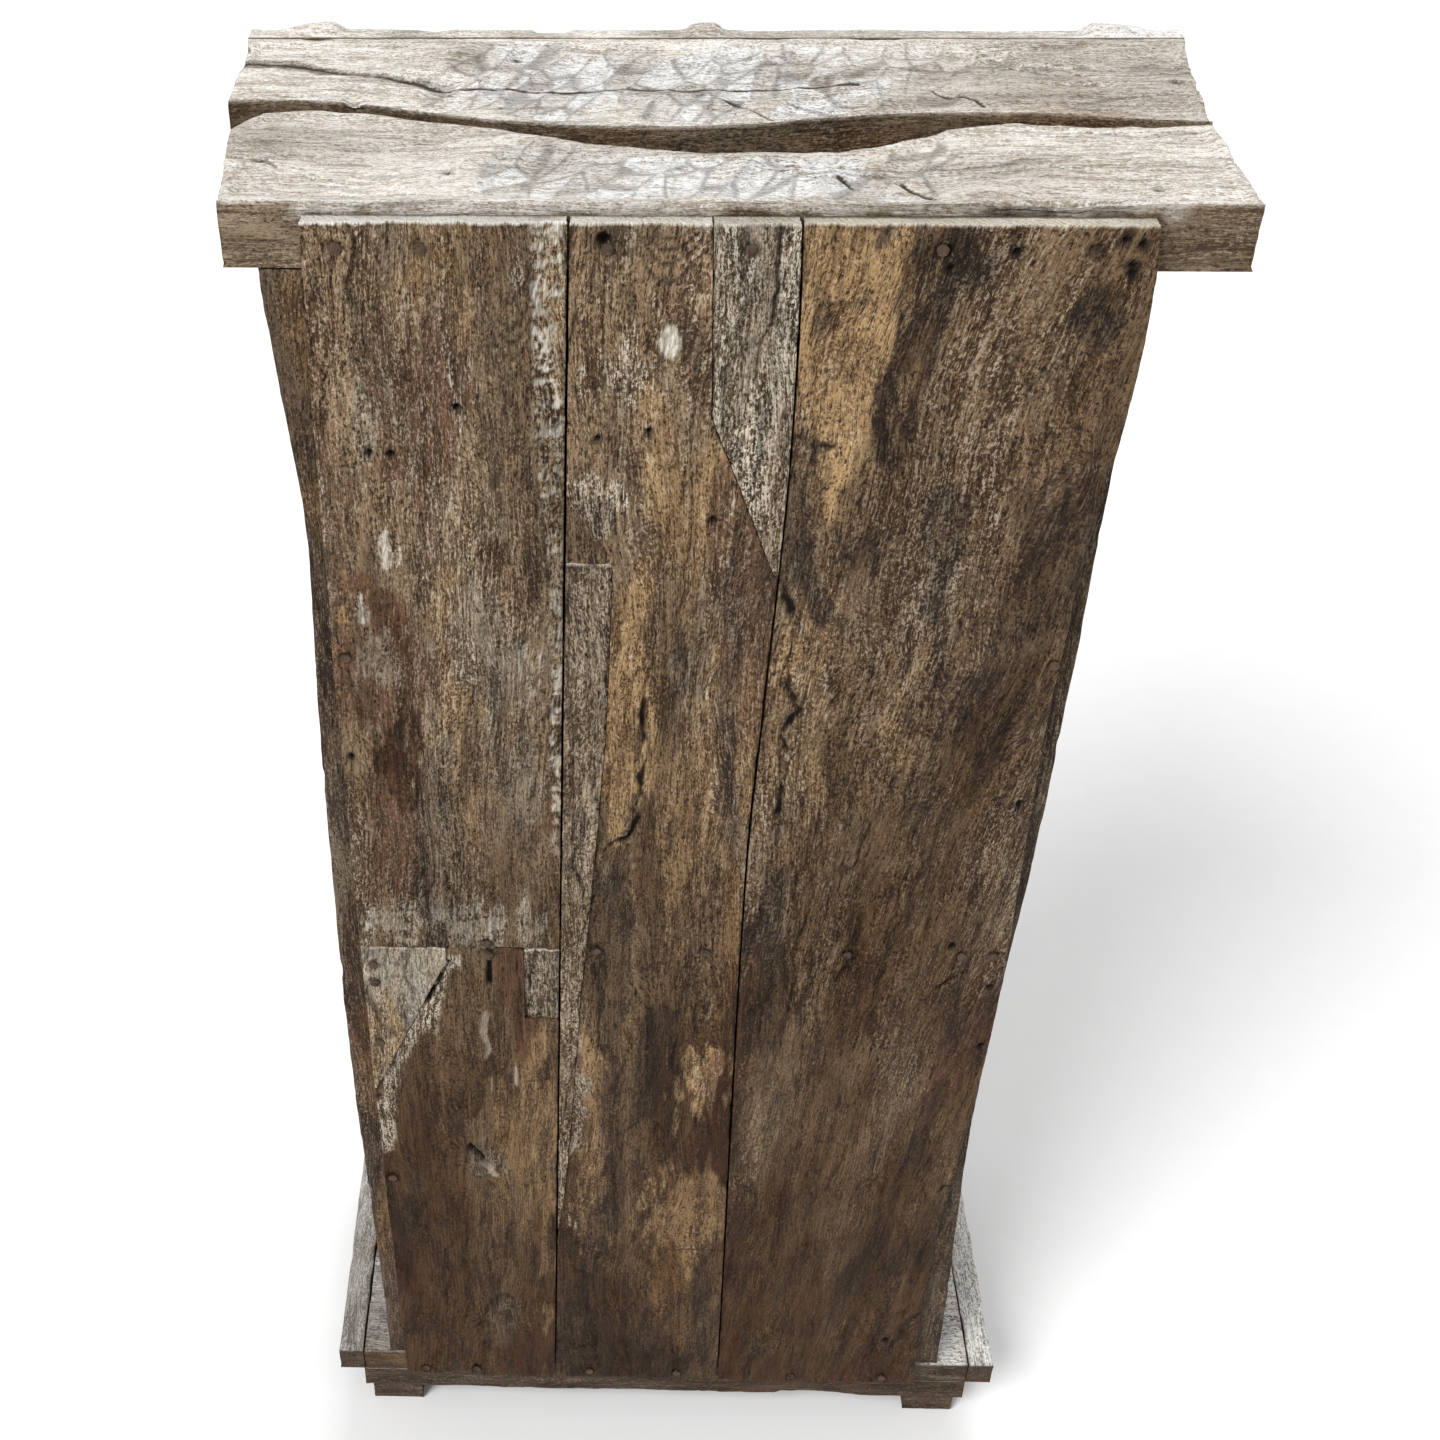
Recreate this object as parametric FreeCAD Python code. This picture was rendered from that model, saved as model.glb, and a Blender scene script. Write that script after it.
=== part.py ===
import FreeCAD, Part
import os

# A rustic plank cabinet that stands on four block feet. It faces -Y, its back boards face +Y, +Z is up,
# and the origin is under the middle of its outer box. Left and right are those of a person facing the doors.
# All sizes are millimetres.

Vec = FreeCAD.Vector
ALONG_X = Vec(1, 0, 0)
ALONG_Y = Vec(0, 1, 0)
ALONG_Z = Vec(0, 0, 1)

# Driving dimensions: heights from the floor up
FOOT_H = 29.0
BEARER_H = 26.5
BASE_T = 26.0
SIDE_H = 1005.5
SLAB_T = 38.0

# Driving dimensions: widths
BODY_W = 466.0
BODY_SHIFT_X = 8.0
BASE_SIDE_OVERHANG = 50.0
TOP_SIDE_OVERHANG = 56.0
SIDE_T = 26.0
BASE_STRIP_W = 22.0
BEARER_END_INSET = 20.0

# Driving dimensions: depths
BODY_D = 250.0
BASE_FRONT_OVERHANG = 38.0
BEARER_D = 45.0
FRONT_BEARER_SETBACK = 25.0

# Feet and the hidden pegs that hold foot, bearer and base together
FOOT_W = 56.0
FOOT_D = 50.0
FOOT_ROUND = 6.0
PEG_R = 6.0
PEG_START_Z = 10.0
PEG_IN_BASE = 14.0
PEG_PLAY = 0.2

# Back boards: edge insets from the body's sides, board widths, and the butt joint of the right column
BACK_T = 12.0
BACK_RIGHT_INSET = 15.0
BACK_LEFT_INSET = 11.0
BACK_TOP_DROP = 8.0
BACK_BASE_LAP = 14.5
RIGHT_BOARD_TOP_W = 141.4
RIGHT_BOARD_BOTTOM_W = 131.7
LEFT_BOARD_W = 178.0
SEAM_GAP = 1.4
BUTT_GAP = 0.8

# Wavy edges, as (share of the height, offset in mm)
LEFT_SEAM_WAVE = [(0.0, -9.4), (0.26, -3.8), (0.45, 0.3), (0.59, 2.0), (0.79, -2.7), (1.0, 0.7)]
RIGHT_EDGE_WAVE = [(0.0, -3.2), (0.3, 0.6), (0.6, 2.2), (0.8, 1.0), (1.0, -2.2)]
LEFT_EDGE_WAVE = [(0.0, -1.0), (0.24, 4.6), (0.42, -3.2), (0.62, 0.8), (0.83, -0.8), (0.93, -7.2),
                  (1.0, -2.0)]
RIGHT_SIDE_WAVE = [(0.0, -2.5), (0.15, -0.5), (0.3, 4.0), (0.5, 4.5), (0.75, 0.5), (0.86, -1.5),
                   (0.93, 5.0), (1.0, 9.5)]
LEFT_SIDE_WAVE = [(0.0, 9.0), (0.12, 4.5), (0.25, -1.5), (0.43, -4.0), (0.55, -1.0), (0.8, -1.5), (1.0, -1.0)]

# Let-in repairs of the back boards. Corner patch: from the right edge and the butt joint
PATCH_PLAY = 0.4
CORNER_PATCH_W = 57.0
CORNER_PATCH_H = 148.0
CORNER_PATCH_SHOULDER = 14.0
BLOCK_PATCH_W = 25.0
BLOCK_PATCH_H = 69.0
# Upper wedge: (offset from the left seam, drop from the boards' top)
UPPER_WEDGE = [(47.0, 0.0), (41.5, 112.0), (23.5, 157.0), (0.0, 217.0)]
# Lower wedge: (offset from the right seam, height above the boards' bottom)
LOWER_WEDGE = [(0.0, 841.0), (-27.5, 841.0), (-28.0, 824.0), (-27.0, 711.0), (-20.5, 572.0), (-15.5, 485.0),
               (-6.5, 260.0), (0.0, 195.0)]
WEDGE_REACH = 25.0

# Top slabs: the outline of the open joint between them, as (share of the half width, offset from its line)
REAR_SLAB_D = 118.0
REAR_SLAB_EDGE = [(0.908, -6.0), (0.73, -10.0), (0.52, 8.0), (0.33, 26.0), (0.01, 46.0), (-0.33, 30.0),
                  (-0.495, 4.0), (-0.72, 6.0), (-0.94, 7.0)]
FRONT_SLAB_EDGE = [(0.986, -25.0), (0.82, -28.0), (0.63, -14.0), (0.43, 3.0), (0.045, 11.0), (-0.346, -8.0),
                   (-0.5, -9.5), (-0.73, -3.6), (-0.945, 3.0)]
REAR_SLAB_RIGHT_REAR = 0.927
REAR_SLAB_RIGHT_FRONT = 0.958
REAR_SLAB_RIGHT_CORNER = 17.0
REAR_SLAB_LEFT_REAR = -0.941

# Cornice board along the front of the top, with three low bosses on its upper edge
CORNICE_T = 18.0
CORNICE_H = 76.0
CORNICE_END_W = 62.0
CORNICE_END_DROP = 14.0
BOSS_RISE = 5.0
BOSS_W = 76.0
BOSS_END_INSET = 54.0
MIDDLE_BOSS_W = 44.0

# Battens inside the top
TOP_CLEAT = 22.0
TOP_CLEAT_END_GAP = 9.0
GAP_BATTEN_W = 100.0
GAP_BATTEN_T = 12.0
GAP_BATTEN_SHIFT = 9.0

# Tenons of the sides in the top and base, and of the rails in the stiles
TENON_T = 10.0
TENON_W = 45.0
TENON_L = 14.0
TENON_END_ROOM = 1.0
TENON_PLAY = 0.3
SIDE_TENON_SETBACK = 55.0
RAIL_TENON_T = 8.0
RAIL_TENON_L = 14.0
RAIL_TENON_SHOULDER = 8.0

# Shelves and the cleats that carry them
SHELF_T = 18.0
SHELF_LEVELS = {"lower": 335.0, "middle": 589.0, "upper": 838.0}
SHELF_PLAY = 0.5
SHELF_SETBACK = 6.0
SHELF_CLEAT = 18.0
SHELF_CLEAT_END_GAP = 8.0

# Face frame, doors and stops
STILE_W = 45.0
HEAD_H = 60.0
SILL_H = 36.0
STOP_T = 14.0
STOP_LAP = 12.0
STOP_HEAD_LAP = 34.0
DOOR_T = 21.5
DOOR_STOP_GAP = 0.5
DOOR_SIDE_GAP = 2.4
DOOR_END_GAP = 2.5
DOOR_MEETING_GAP = 4.0
PLANK_GAP = 0.8
HANGING_PLANK_W = 96.0
LEDGE_T = 18.0
LEDGE_H = 74.0
LEDGE_END_GAP = 14.0
LEDGE_FROM_END = 62.0

# Strap hinges
PIN_R = 2.5
PIN_PLAY = 0.05
PIN_END = 3.0
PIN_HEAD_R = 4.0
KNUCKLE_R = 5.0
KNUCKLE_STANDOFF = 0.5
KNUCKLE_GAP = 0.4
LEAF_T = 3.0
LEAF_ROOT_GAP = 0.6
PLATE_W = 36.0
PLATE_H = 58.0
MIDDLE_KNUCKLE_H = 24.0
STRAP_L = 132.0
STRAP_ROOT_H = 23.0
STRAP_TIP_H = 13.0
STRAP_END_H = 6.0
STRAP_NAILS = [24.0, 66.0, 108.0]
PLATE_NAIL_X = 23.0
PLATE_NAIL_Z = 20.0

# Ring pulls
RING_R = 18.0
RING_WIRE_R = 2.6
EYE_R = 5.4
EYE_WIRE_R = 2.0
EYE_STANDOFF = 8.6
EYE_SHANK_R = 2.4
EYE_SHANK_L = 17.0
EYE_HOLE_PLAY = 0.1
ROSE_R = 13.0
ROSE_T = 2.0
PULL_FROM_EDGE = 30.0
PULL_Z = 575.0

# Turn button on the head rail
BUTTON_L = 46.0
BUTTON_W = 18.0
BUTTON_T = 9.0
BUTTON_GAP = 0.6
BUTTON_DROP = 11.0
BUTTON_SCREW_R = 2.2
BUTTON_SCREW_PLAY = 0.1
BUTTON_SCREW_HEAD_R = 5.0
BUTTON_SCREW_HEAD_T = 2.5
BUTTON_SCREW_IN_RAIL = 16.0
BUTTON_HEAD_GAP = 0.3

# Nails
NAIL_R = 1.4
NAIL_HEAD_R = 3.2
NAIL_HEAD_T = 1.2
NAIL_PLAY = 0.1
NAIL_SINK = 1.0
BACK_NAIL_L = 30.0
SHORT_NAIL_L = 30.0
LONG_NAIL_L = 44.0
DOOR_NAIL_L = 34.0
BOARD_EDGE_NAIL = 6.0
TOP_NAIL_DROP = 22.0
BASE_NAIL_DROP = 7.0
JOINT_NAIL_STEP = 5.0
BOARD_NAIL_OFFSETS = {"right": [20.0, 64.0], "middle": [20.0], "left": [72.0, 150.0]}
WEDGE_NAIL = 25.6
PATCH_NAILS = [0.12, 0.24, 0.66]
CLEAT_NAIL_END = 40.0
STILE_NAIL_END = 90.0
CORNICE_NAILS = [-0.86, -0.43, 0.0, 0.43, 0.86]
LEDGE_NAIL_STEP = 24.0

# Levels and planes that follow from the driving dimensions
BASE_Z = FOOT_H + BEARER_H
FLOOR_Z = BASE_Z + BASE_T
CEILING_Z = FLOOR_Z + SIDE_H
TOP_Z = CEILING_Z + SLAB_T
BASE_D = BODY_D + BASE_FRONT_OVERHANG
BACK_Y = (BACK_T + BASE_D) / 2
REAR_Y = BACK_Y - BACK_T
FRONT_Y = REAR_Y - BODY_D
BASE_FRONT_Y = REAR_Y - BASE_D
RIGHT_X = BODY_SHIFT_X + BODY_W / 2
LEFT_X = BODY_SHIFT_X - BODY_W / 2
RIGHT_INNER_X = RIGHT_X - SIDE_T
LEFT_INNER_X = LEFT_X + SIDE_T
BASE_HALF = BODY_W / 2 + BASE_SIDE_OVERHANG
TOP_HALF = BODY_W / 2 + TOP_SIDE_OVERHANG
BACK_TOP_Z = TOP_Z - BACK_TOP_DROP
BACK_BOTTOM_Z = FLOOR_Z - BACK_BASE_LAP
BACK_H = BACK_TOP_Z - BACK_BOTTOM_Z
BACK_RIGHT_X = RIGHT_X - BACK_RIGHT_INSET
BACK_LEFT_X = LEFT_X + BACK_LEFT_INSET
LEFT_SEAM_X = BACK_LEFT_X + LEFT_BOARD_W
JOINT_Z = SHELF_LEVELS["middle"]
GAP_Y = REAR_Y - REAR_SLAB_D
STILE_T = DOOR_T + DOOR_STOP_GAP
STILE_REAR_Y = FRONT_Y + STILE_T
DOOR_REAR_Y = FRONT_Y + DOOR_T
LEDGE_REAR_Y = DOOR_REAR_Y + LEDGE_T
SHELF_FRONT_Y = LEDGE_REAR_Y + SHELF_SETBACK
RIGHT_JAMB_X = RIGHT_X - STILE_W
LEFT_JAMB_X = LEFT_X + STILE_W
DOOR_BOTTOM_Z = FLOOR_Z + SILL_H + DOOR_END_GAP
DOOR_TOP_Z = CEILING_Z - HEAD_H - DOOR_END_GAP
DOOR_W = (RIGHT_JAMB_X - LEFT_JAMB_X - 2 * DOOR_SIDE_GAP - DOOR_MEETING_GAP) / 2
MEETING_X = (RIGHT_JAMB_X + LEFT_JAMB_X) / 2
PIN_Y = FRONT_Y - KNUCKLE_STANDOFF - KNUCKLE_R


def box(x0, x1, y0, y1, z0, z1):
    return Part.makeBox(x1 - x0, y1 - y0, z1 - z0, Vec(x0, y0, z0))


def rod(radius, length, start, direction):
    return Part.makeCylinder(radius, length, start, direction)


def edge_through(points):
    """A straight edge through two points, or a smooth one through more."""
    if len(points) == 2:
        return Part.makeLine(points[0], points[1])
    curve = Part.BSplineCurve()
    curve.interpolate(points)
    return curve.toShape()


def outline_face(runs):
    """A flat face inside runs of points that follow each other round it; a run of more than two is smooth."""
    edges = []
    for run, following in zip(runs, runs[1:] + runs[:1]):
        edges.append(edge_through(run))
        if run[-1].distanceToPoint(following[0]) > Part.Precision.confusion():
            edges.append(Part.makeLine(run[-1], following[0]))
    return Part.Face(Part.Wire(edges))


def upright_prism(points, y0, y1):
    """A straight-sided piece from an outline of (x, z) points, from y0 back to y1."""
    corners = [Vec(x, y0, z) for x, z in points]
    return Part.Face(Part.makePolygon(corners + corners[:1])).extrude(Vec(0, y1 - y0, 0))


def grown_prism(points, y0, y1, play):
    """The same prism, larger all round by the play of a let-in piece."""
    corners = [Vec(x, y0, z) for x, z in points]
    wire = Part.makePolygon(corners + corners[:1])
    grown = wire.makeOffset2D(play, 2)
    return Part.Face(grown).extrude(Vec(0, y1 - y0, 0))


def waved_edge(x, wave, z0, height, y):
    """Points up a standing edge near x that follows a wave of (share of the height, offset)."""
    return [Vec(x + offset, y, z0 + share * height) for share, offset in wave]


def standing_board(left, right, depth):
    """A board between two standing edges, each a list of points from its foot to its head."""
    face = outline_face([left, list(reversed(right))])
    return face.extrude(Vec(0, depth, 0))


def nail(point, direction, length, sink=0.0):
    """A nail whose head rests on the surface at point, or is sunk under it, and the hole that it fills."""
    head_start = point + direction * (sink if sink > 0.0 else -NAIL_HEAD_T)
    shank_start = head_start + direction * NAIL_HEAD_T
    head = rod(NAIL_HEAD_R, NAIL_HEAD_T, head_start, direction)
    shank = rod(NAIL_R, length, shank_start, direction)
    hole = rod(NAIL_R + NAIL_PLAY, length + NAIL_HEAD_T + NAIL_PLAY, shank_start, direction)
    if sink > 0.0:
        well = rod(NAIL_HEAD_R + NAIL_PLAY, sink + NAIL_HEAD_T, point, direction)
        hole = hole.fuse(well)
    return head.fuse(shank).removeSplitter(), hole


nodes = {}


def drive_nails(group, places, targets):
    """Add nails at (point, direction, length, sink) places to a group, and drill the target nodes."""
    made = [nail(*place) for place in places]
    solids = [solid for solid, hole in made]
    if group in nodes:
        solids = nodes[group].Solids + solids
    nodes[group] = Part.makeCompound(solids)
    holes = Part.makeCompound([hole for solid, hole in made])
    for target in targets:
        nodes[target] = nodes[target].cut(holes)


# Base: board, end strips, bearers, feet and pegs
def make_base():
    inner = BASE_HALF - BASE_STRIP_W
    nodes["base_board"] = box(-inner, inner, BASE_FRONT_Y, REAR_Y, BASE_Z, FLOOR_Z)
    nodes["base_strip_left"] = box(-BASE_HALF, -inner, BASE_FRONT_Y, REAR_Y, BASE_Z, FLOOR_Z)
    nodes["base_strip_right"] = box(inner, BASE_HALF, BASE_FRONT_Y, REAR_Y, BASE_Z, FLOOR_Z)
    reach = BASE_HALF - BEARER_END_INSET
    front = BASE_FRONT_Y + FRONT_BEARER_SETBACK
    bearer_rears = {"rear": REAR_Y, "front": front + BEARER_D}
    for place, rear in bearer_rears.items():
        nodes["bearer_" + place] = box(-reach, reach, rear - BEARER_D, rear, FOOT_H, BASE_Z)
    pegs = []
    peg_top = BASE_Z + PEG_IN_BASE
    for place, y in (("rear", REAR_Y - FOOT_D / 2), ("front", front + FOOT_D / 2)):
        for hand, sign in (("left", -1), ("right", 1)):
            x = sign * (reach - FOOT_W / 2)
            foot = box(x - FOOT_W / 2, x + FOOT_W / 2, y - FOOT_D / 2, y + FOOT_D / 2, 0, FOOT_H)
            low_edges = [edge for edge in foot.Edges if edge.CenterOfMass.z < FOOT_H - FOOT_ROUND]
            foot = foot.makeFillet(FOOT_ROUND, low_edges)
            start = Vec(x, y, PEG_START_Z)
            pegs.append(rod(PEG_R, peg_top - PEG_START_Z, start, ALONG_Z))
            hole = rod(PEG_R + PEG_PLAY, peg_top + PEG_PLAY - PEG_START_Z, start, ALONG_Z)
            nodes["foot_" + place + "_" + hand] = foot.cut(hole)
            nodes["bearer_" + place] = nodes["bearer_" + place].cut(hole)
            nodes["base_board"] = nodes["base_board"].cut(hole)
    nodes["foot_pegs"] = Part.makeCompound(pegs)


# Top: two slabs with an open curved joint, the cornice in front and the battens below
def make_top():
    def top_point(share, y):
        return Vec(share * TOP_HALF, y, CEILING_Z)

    rear_edge = [top_point(share, GAP_Y + offset) for share, offset in REAR_SLAB_EDGE]
    rear_right = [top_point(REAR_SLAB_RIGHT_REAR, REAR_Y),
                  top_point(REAR_SLAB_RIGHT_FRONT, GAP_Y + REAR_SLAB_RIGHT_CORNER)]
    rear_left = [top_point(REAR_SLAB_EDGE[-1][0], GAP_Y + REAR_SLAB_EDGE[-1][1]),
                 top_point(REAR_SLAB_LEFT_REAR, REAR_Y)]
    rise = Vec(0, 0, SLAB_T)
    nodes["top_slab_rear"] = outline_face([rear_right, rear_edge, rear_left]).extrude(rise)
    front_edge = [top_point(share, GAP_Y + offset) for share, offset in FRONT_SLAB_EDGE]
    front_ends = [top_point(-1, FRONT_Y), top_point(1, FRONT_Y)]
    nodes["top_slab_front"] = outline_face([front_edge, front_ends]).extrude(rise)

    hands = (("left", LEFT_INNER_X, 1), ("right", RIGHT_INNER_X, -1))
    for hand, inner_x, inward in hands:
        xs = sorted([inner_x, inner_x + inward * TOP_CLEAT])
        nodes["top_cleat_" + hand] = box(*xs, STILE_REAR_Y + TOP_CLEAT_END_GAP, REAR_Y - TOP_CLEAT_END_GAP,
                                         CEILING_Z - TOP_CLEAT, CEILING_Z)
    middle = GAP_Y + GAP_BATTEN_SHIFT
    nodes["gap_batten"] = box(LEFT_INNER_X + TOP_CLEAT, RIGHT_INNER_X - TOP_CLEAT, middle - GAP_BATTEN_W / 2,
                              middle + GAP_BATTEN_W / 2, CEILING_Z - GAP_BATTEN_T, CEILING_Z)
    nodes["cornice"] = cornice()


def cornice():
    """A board on edge: its lower edge steps up between the ends, and its upper edge has three low bosses."""
    low = TOP_Z - CORNICE_H
    raised = low + CORNICE_END_DROP
    end_in = TOP_HALF - CORNICE_END_W
    half_root = CORNICE_END_DROP / 2 ** 0.5

    def point(x, z):
        return Vec(x, FRONT_Y - CORNICE_T, z)

    def arc(start, through, end):
        return Part.Arc(start, through, end).toShape()

    edges = [Part.makeLine(point(-TOP_HALF, low), point(-end_in, low))]
    edges.append(arc(point(-end_in, low), point(-end_in + CORNICE_END_DROP - half_root, low + half_root),
                     point(-end_in + CORNICE_END_DROP, raised)))
    arch_x = end_in - CORNICE_END_DROP
    edges.append(Part.makeLine(point(-arch_x, raised), point(arch_x, raised)))
    edges.append(arc(point(arch_x, raised), point(arch_x + half_root, low + half_root), point(end_in, low)))
    edges.append(Part.makeLine(point(end_in, low), point(TOP_HALF, low)))
    last = point(TOP_HALF, TOP_Z)
    edges.append(Part.makeLine(point(TOP_HALF, low), last))
    bosses = [(TOP_HALF - BOSS_END_INSET, BOSS_W), (0.0, MIDDLE_BOSS_W), (BOSS_END_INSET - TOP_HALF, BOSS_W)]
    for x, width in bosses:
        start = point(x + width / 2, TOP_Z)
        end = point(x - width / 2, TOP_Z)
        edges.append(Part.makeLine(last, start))
        edges.append(arc(start, point(x, TOP_Z + BOSS_RISE), end))
        last = end
    edges.append(Part.makeLine(last, point(-TOP_HALF, TOP_Z)))
    edges.append(Part.makeLine(point(-TOP_HALF, TOP_Z), point(-TOP_HALF, low)))
    return Part.Face(Part.Wire(edges)).extrude(Vec(0, CORNICE_T, 0))


# Sides: planks with a straight inner face and a live outer face, tenoned into top and base
def make_sides():
    for hand, inner_x, outer_x, sign, wave in (("left", LEFT_INNER_X, LEFT_X, -1, LEFT_SIDE_WAVE),
                                               ("right", RIGHT_INNER_X, RIGHT_X, 1, RIGHT_SIDE_WAVE)):
        signed_wave = [(share, sign * offset) for share, offset in wave]
        outer = waved_edge(outer_x, signed_wave, FLOOR_Z, SIDE_H, STILE_REAR_Y)
        inner = [Vec(inner_x, STILE_REAR_Y, FLOOR_Z), Vec(inner_x, STILE_REAR_Y, CEILING_Z)]
        panel = standing_board(inner, outer, REAR_Y - STILE_REAR_Y)
        middle_x = (inner_x + outer_x) / 2
        joints = (("top_slab_rear", REAR_Y - SIDE_TENON_SETBACK, CEILING_Z, CEILING_Z + TENON_L),
                  ("top_slab_front", FRONT_Y + SIDE_TENON_SETBACK, CEILING_Z, CEILING_Z + TENON_L),
                  ("base_board", REAR_Y - SIDE_TENON_SETBACK, FLOOR_Z - TENON_L, FLOOR_Z),
                  ("base_board", FRONT_Y + SIDE_TENON_SETBACK, FLOOR_Z - TENON_L, FLOOR_Z))
        for mate, y, z0, z1 in joints:
            tenon = box(middle_x - TENON_T / 2, middle_x + TENON_T / 2, y - TENON_W / 2, y + TENON_W / 2,
                        z0, z1)
            panel = panel.fuse(tenon)
            reach = TENON_PLAY + TENON_T / 2
            width = TENON_PLAY + TENON_W / 2
            mortise = box(middle_x - reach, middle_x + reach, y - width, y + width,
                          z0 - TENON_END_ROOM, z1 + TENON_END_ROOM)
            nodes[mate] = nodes[mate].cut(mortise)
        nodes["side_panel_" + hand] = panel.removeSplitter()


# Back: three board columns nailed over the rear edges, with their let-in repairs
def make_back():
    def column_edge(x, wave, shift):
        moved = [(share, offset + shift) for share, offset in wave]
        return waved_edge(x, moved, BACK_BOTTOM_Z, BACK_H, REAR_Y)

    half_gap = SEAM_GAP / 2
    right_seam = [(0.0, -RIGHT_BOARD_BOTTOM_W), (1.0, -RIGHT_BOARD_TOP_W)]
    left_board = standing_board(column_edge(BACK_LEFT_X, LEFT_EDGE_WAVE, 0.0),
                                column_edge(LEFT_SEAM_X, LEFT_SEAM_WAVE, -half_gap), BACK_T)
    middle_board = standing_board(column_edge(LEFT_SEAM_X, LEFT_SEAM_WAVE, half_gap),
                                  column_edge(BACK_RIGHT_X, right_seam, -half_gap), BACK_T)
    right_column = standing_board(column_edge(BACK_RIGHT_X, right_seam, half_gap),
                                  column_edge(BACK_RIGHT_X, RIGHT_EDGE_WAVE, 0.0), BACK_T)
    nodes["back_board_left"] = left_board

    cut_x0 = BACK_RIGHT_X - RIGHT_BOARD_TOP_W - WEDGE_REACH
    cut_x1 = BACK_RIGHT_X + WEDGE_REACH
    upper_zone = box(cut_x0, cut_x1, REAR_Y, BACK_Y, JOINT_Z + BUTT_GAP / 2, BACK_TOP_Z)
    lower_zone = box(cut_x0, cut_x1, REAR_Y, BACK_Y, BACK_BOTTOM_Z, JOINT_Z - BUTT_GAP / 2)
    nodes["back_board_right_upper"] = right_column.common(upper_zone)
    lower_board = right_column.common(lower_zone)

    joint_z = JOINT_Z + WEDGE_REACH
    patch_x = BACK_RIGHT_X - CORNER_PATCH_W
    corner = [(cut_x1, joint_z), (patch_x, joint_z), (patch_x, JOINT_Z - CORNER_PATCH_SHOULDER),
              (BACK_RIGHT_X, JOINT_Z - CORNER_PATCH_H), (cut_x1, JOINT_Z - CORNER_PATCH_H)]
    seam_share = (JOINT_Z - BACK_BOTTOM_Z) / BACK_H
    seam_w = RIGHT_BOARD_BOTTOM_W + seam_share * (RIGHT_BOARD_TOP_W - RIGHT_BOARD_BOTTOM_W)
    block_x = BACK_RIGHT_X - seam_w + BLOCK_PATCH_W
    block = [(cut_x0, joint_z), (cut_x0, JOINT_Z - BLOCK_PATCH_H), (block_x, JOINT_Z - BLOCK_PATCH_H),
             (block_x, joint_z)]
    upper = [(LEFT_SEAM_X + offset, BACK_TOP_Z - drop) for offset, drop in UPPER_WEDGE]
    upper = [(upper[0][0], BACK_TOP_Z + WEDGE_REACH)] + upper[1:]
    upper = upper + [(LEFT_SEAM_X - WEDGE_REACH, upper[-1][1]), (LEFT_SEAM_X - WEDGE_REACH, upper[0][1])]
    lower = []
    for offset, height in LOWER_WEDGE:
        seam_lean = height / BACK_H * (RIGHT_BOARD_TOP_W - RIGHT_BOARD_BOTTOM_W)
        seam_x = BACK_RIGHT_X - RIGHT_BOARD_BOTTOM_W - seam_lean
        lower.append((seam_x + offset, BACK_BOTTOM_Z + height))
    reach_x = lower[0][0] + WEDGE_REACH
    lower = [(reach_x, lower[0][1])] + lower[1:] + [(reach_x, lower[-1][1])]

    def let_in(board, name, outline):
        nodes[name] = board.common(upright_prism(outline, REAR_Y, BACK_Y))
        return board.cut(grown_prism(outline, REAR_Y, BACK_Y, PATCH_PLAY))

    lower_board = let_in(lower_board, "corner_patch", corner)
    nodes["back_board_right_lower"] = let_in(lower_board, "block_patch", block)
    middle_board = let_in(middle_board, "upper_wedge", upper)
    nodes["back_board_middle"] = let_in(middle_board, "lower_wedge", lower)


# Shelves on cleats
def make_shelves():
    for name, level in SHELF_LEVELS.items():
        nodes["shelf_" + name] = box(LEFT_INNER_X + SHELF_PLAY, RIGHT_INNER_X - SHELF_PLAY, SHELF_FRONT_Y,
                                     REAR_Y, level - SHELF_T / 2, level + SHELF_T / 2)
    for hand, inner_x, inward in (("left", LEFT_INNER_X, 1), ("right", RIGHT_INNER_X, -1)):
        xs = sorted([inner_x, inner_x + inward * SHELF_CLEAT])
        cleats = []
        for level in SHELF_LEVELS.values():
            top = level - SHELF_T / 2
            cleats.append(box(*xs, SHELF_FRONT_Y + SHELF_CLEAT_END_GAP, REAR_Y - SHELF_CLEAT_END_GAP,
                              top - SHELF_CLEAT, top))
        nodes["shelf_cleats_" + hand] = Part.makeCompound(cleats)


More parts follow.
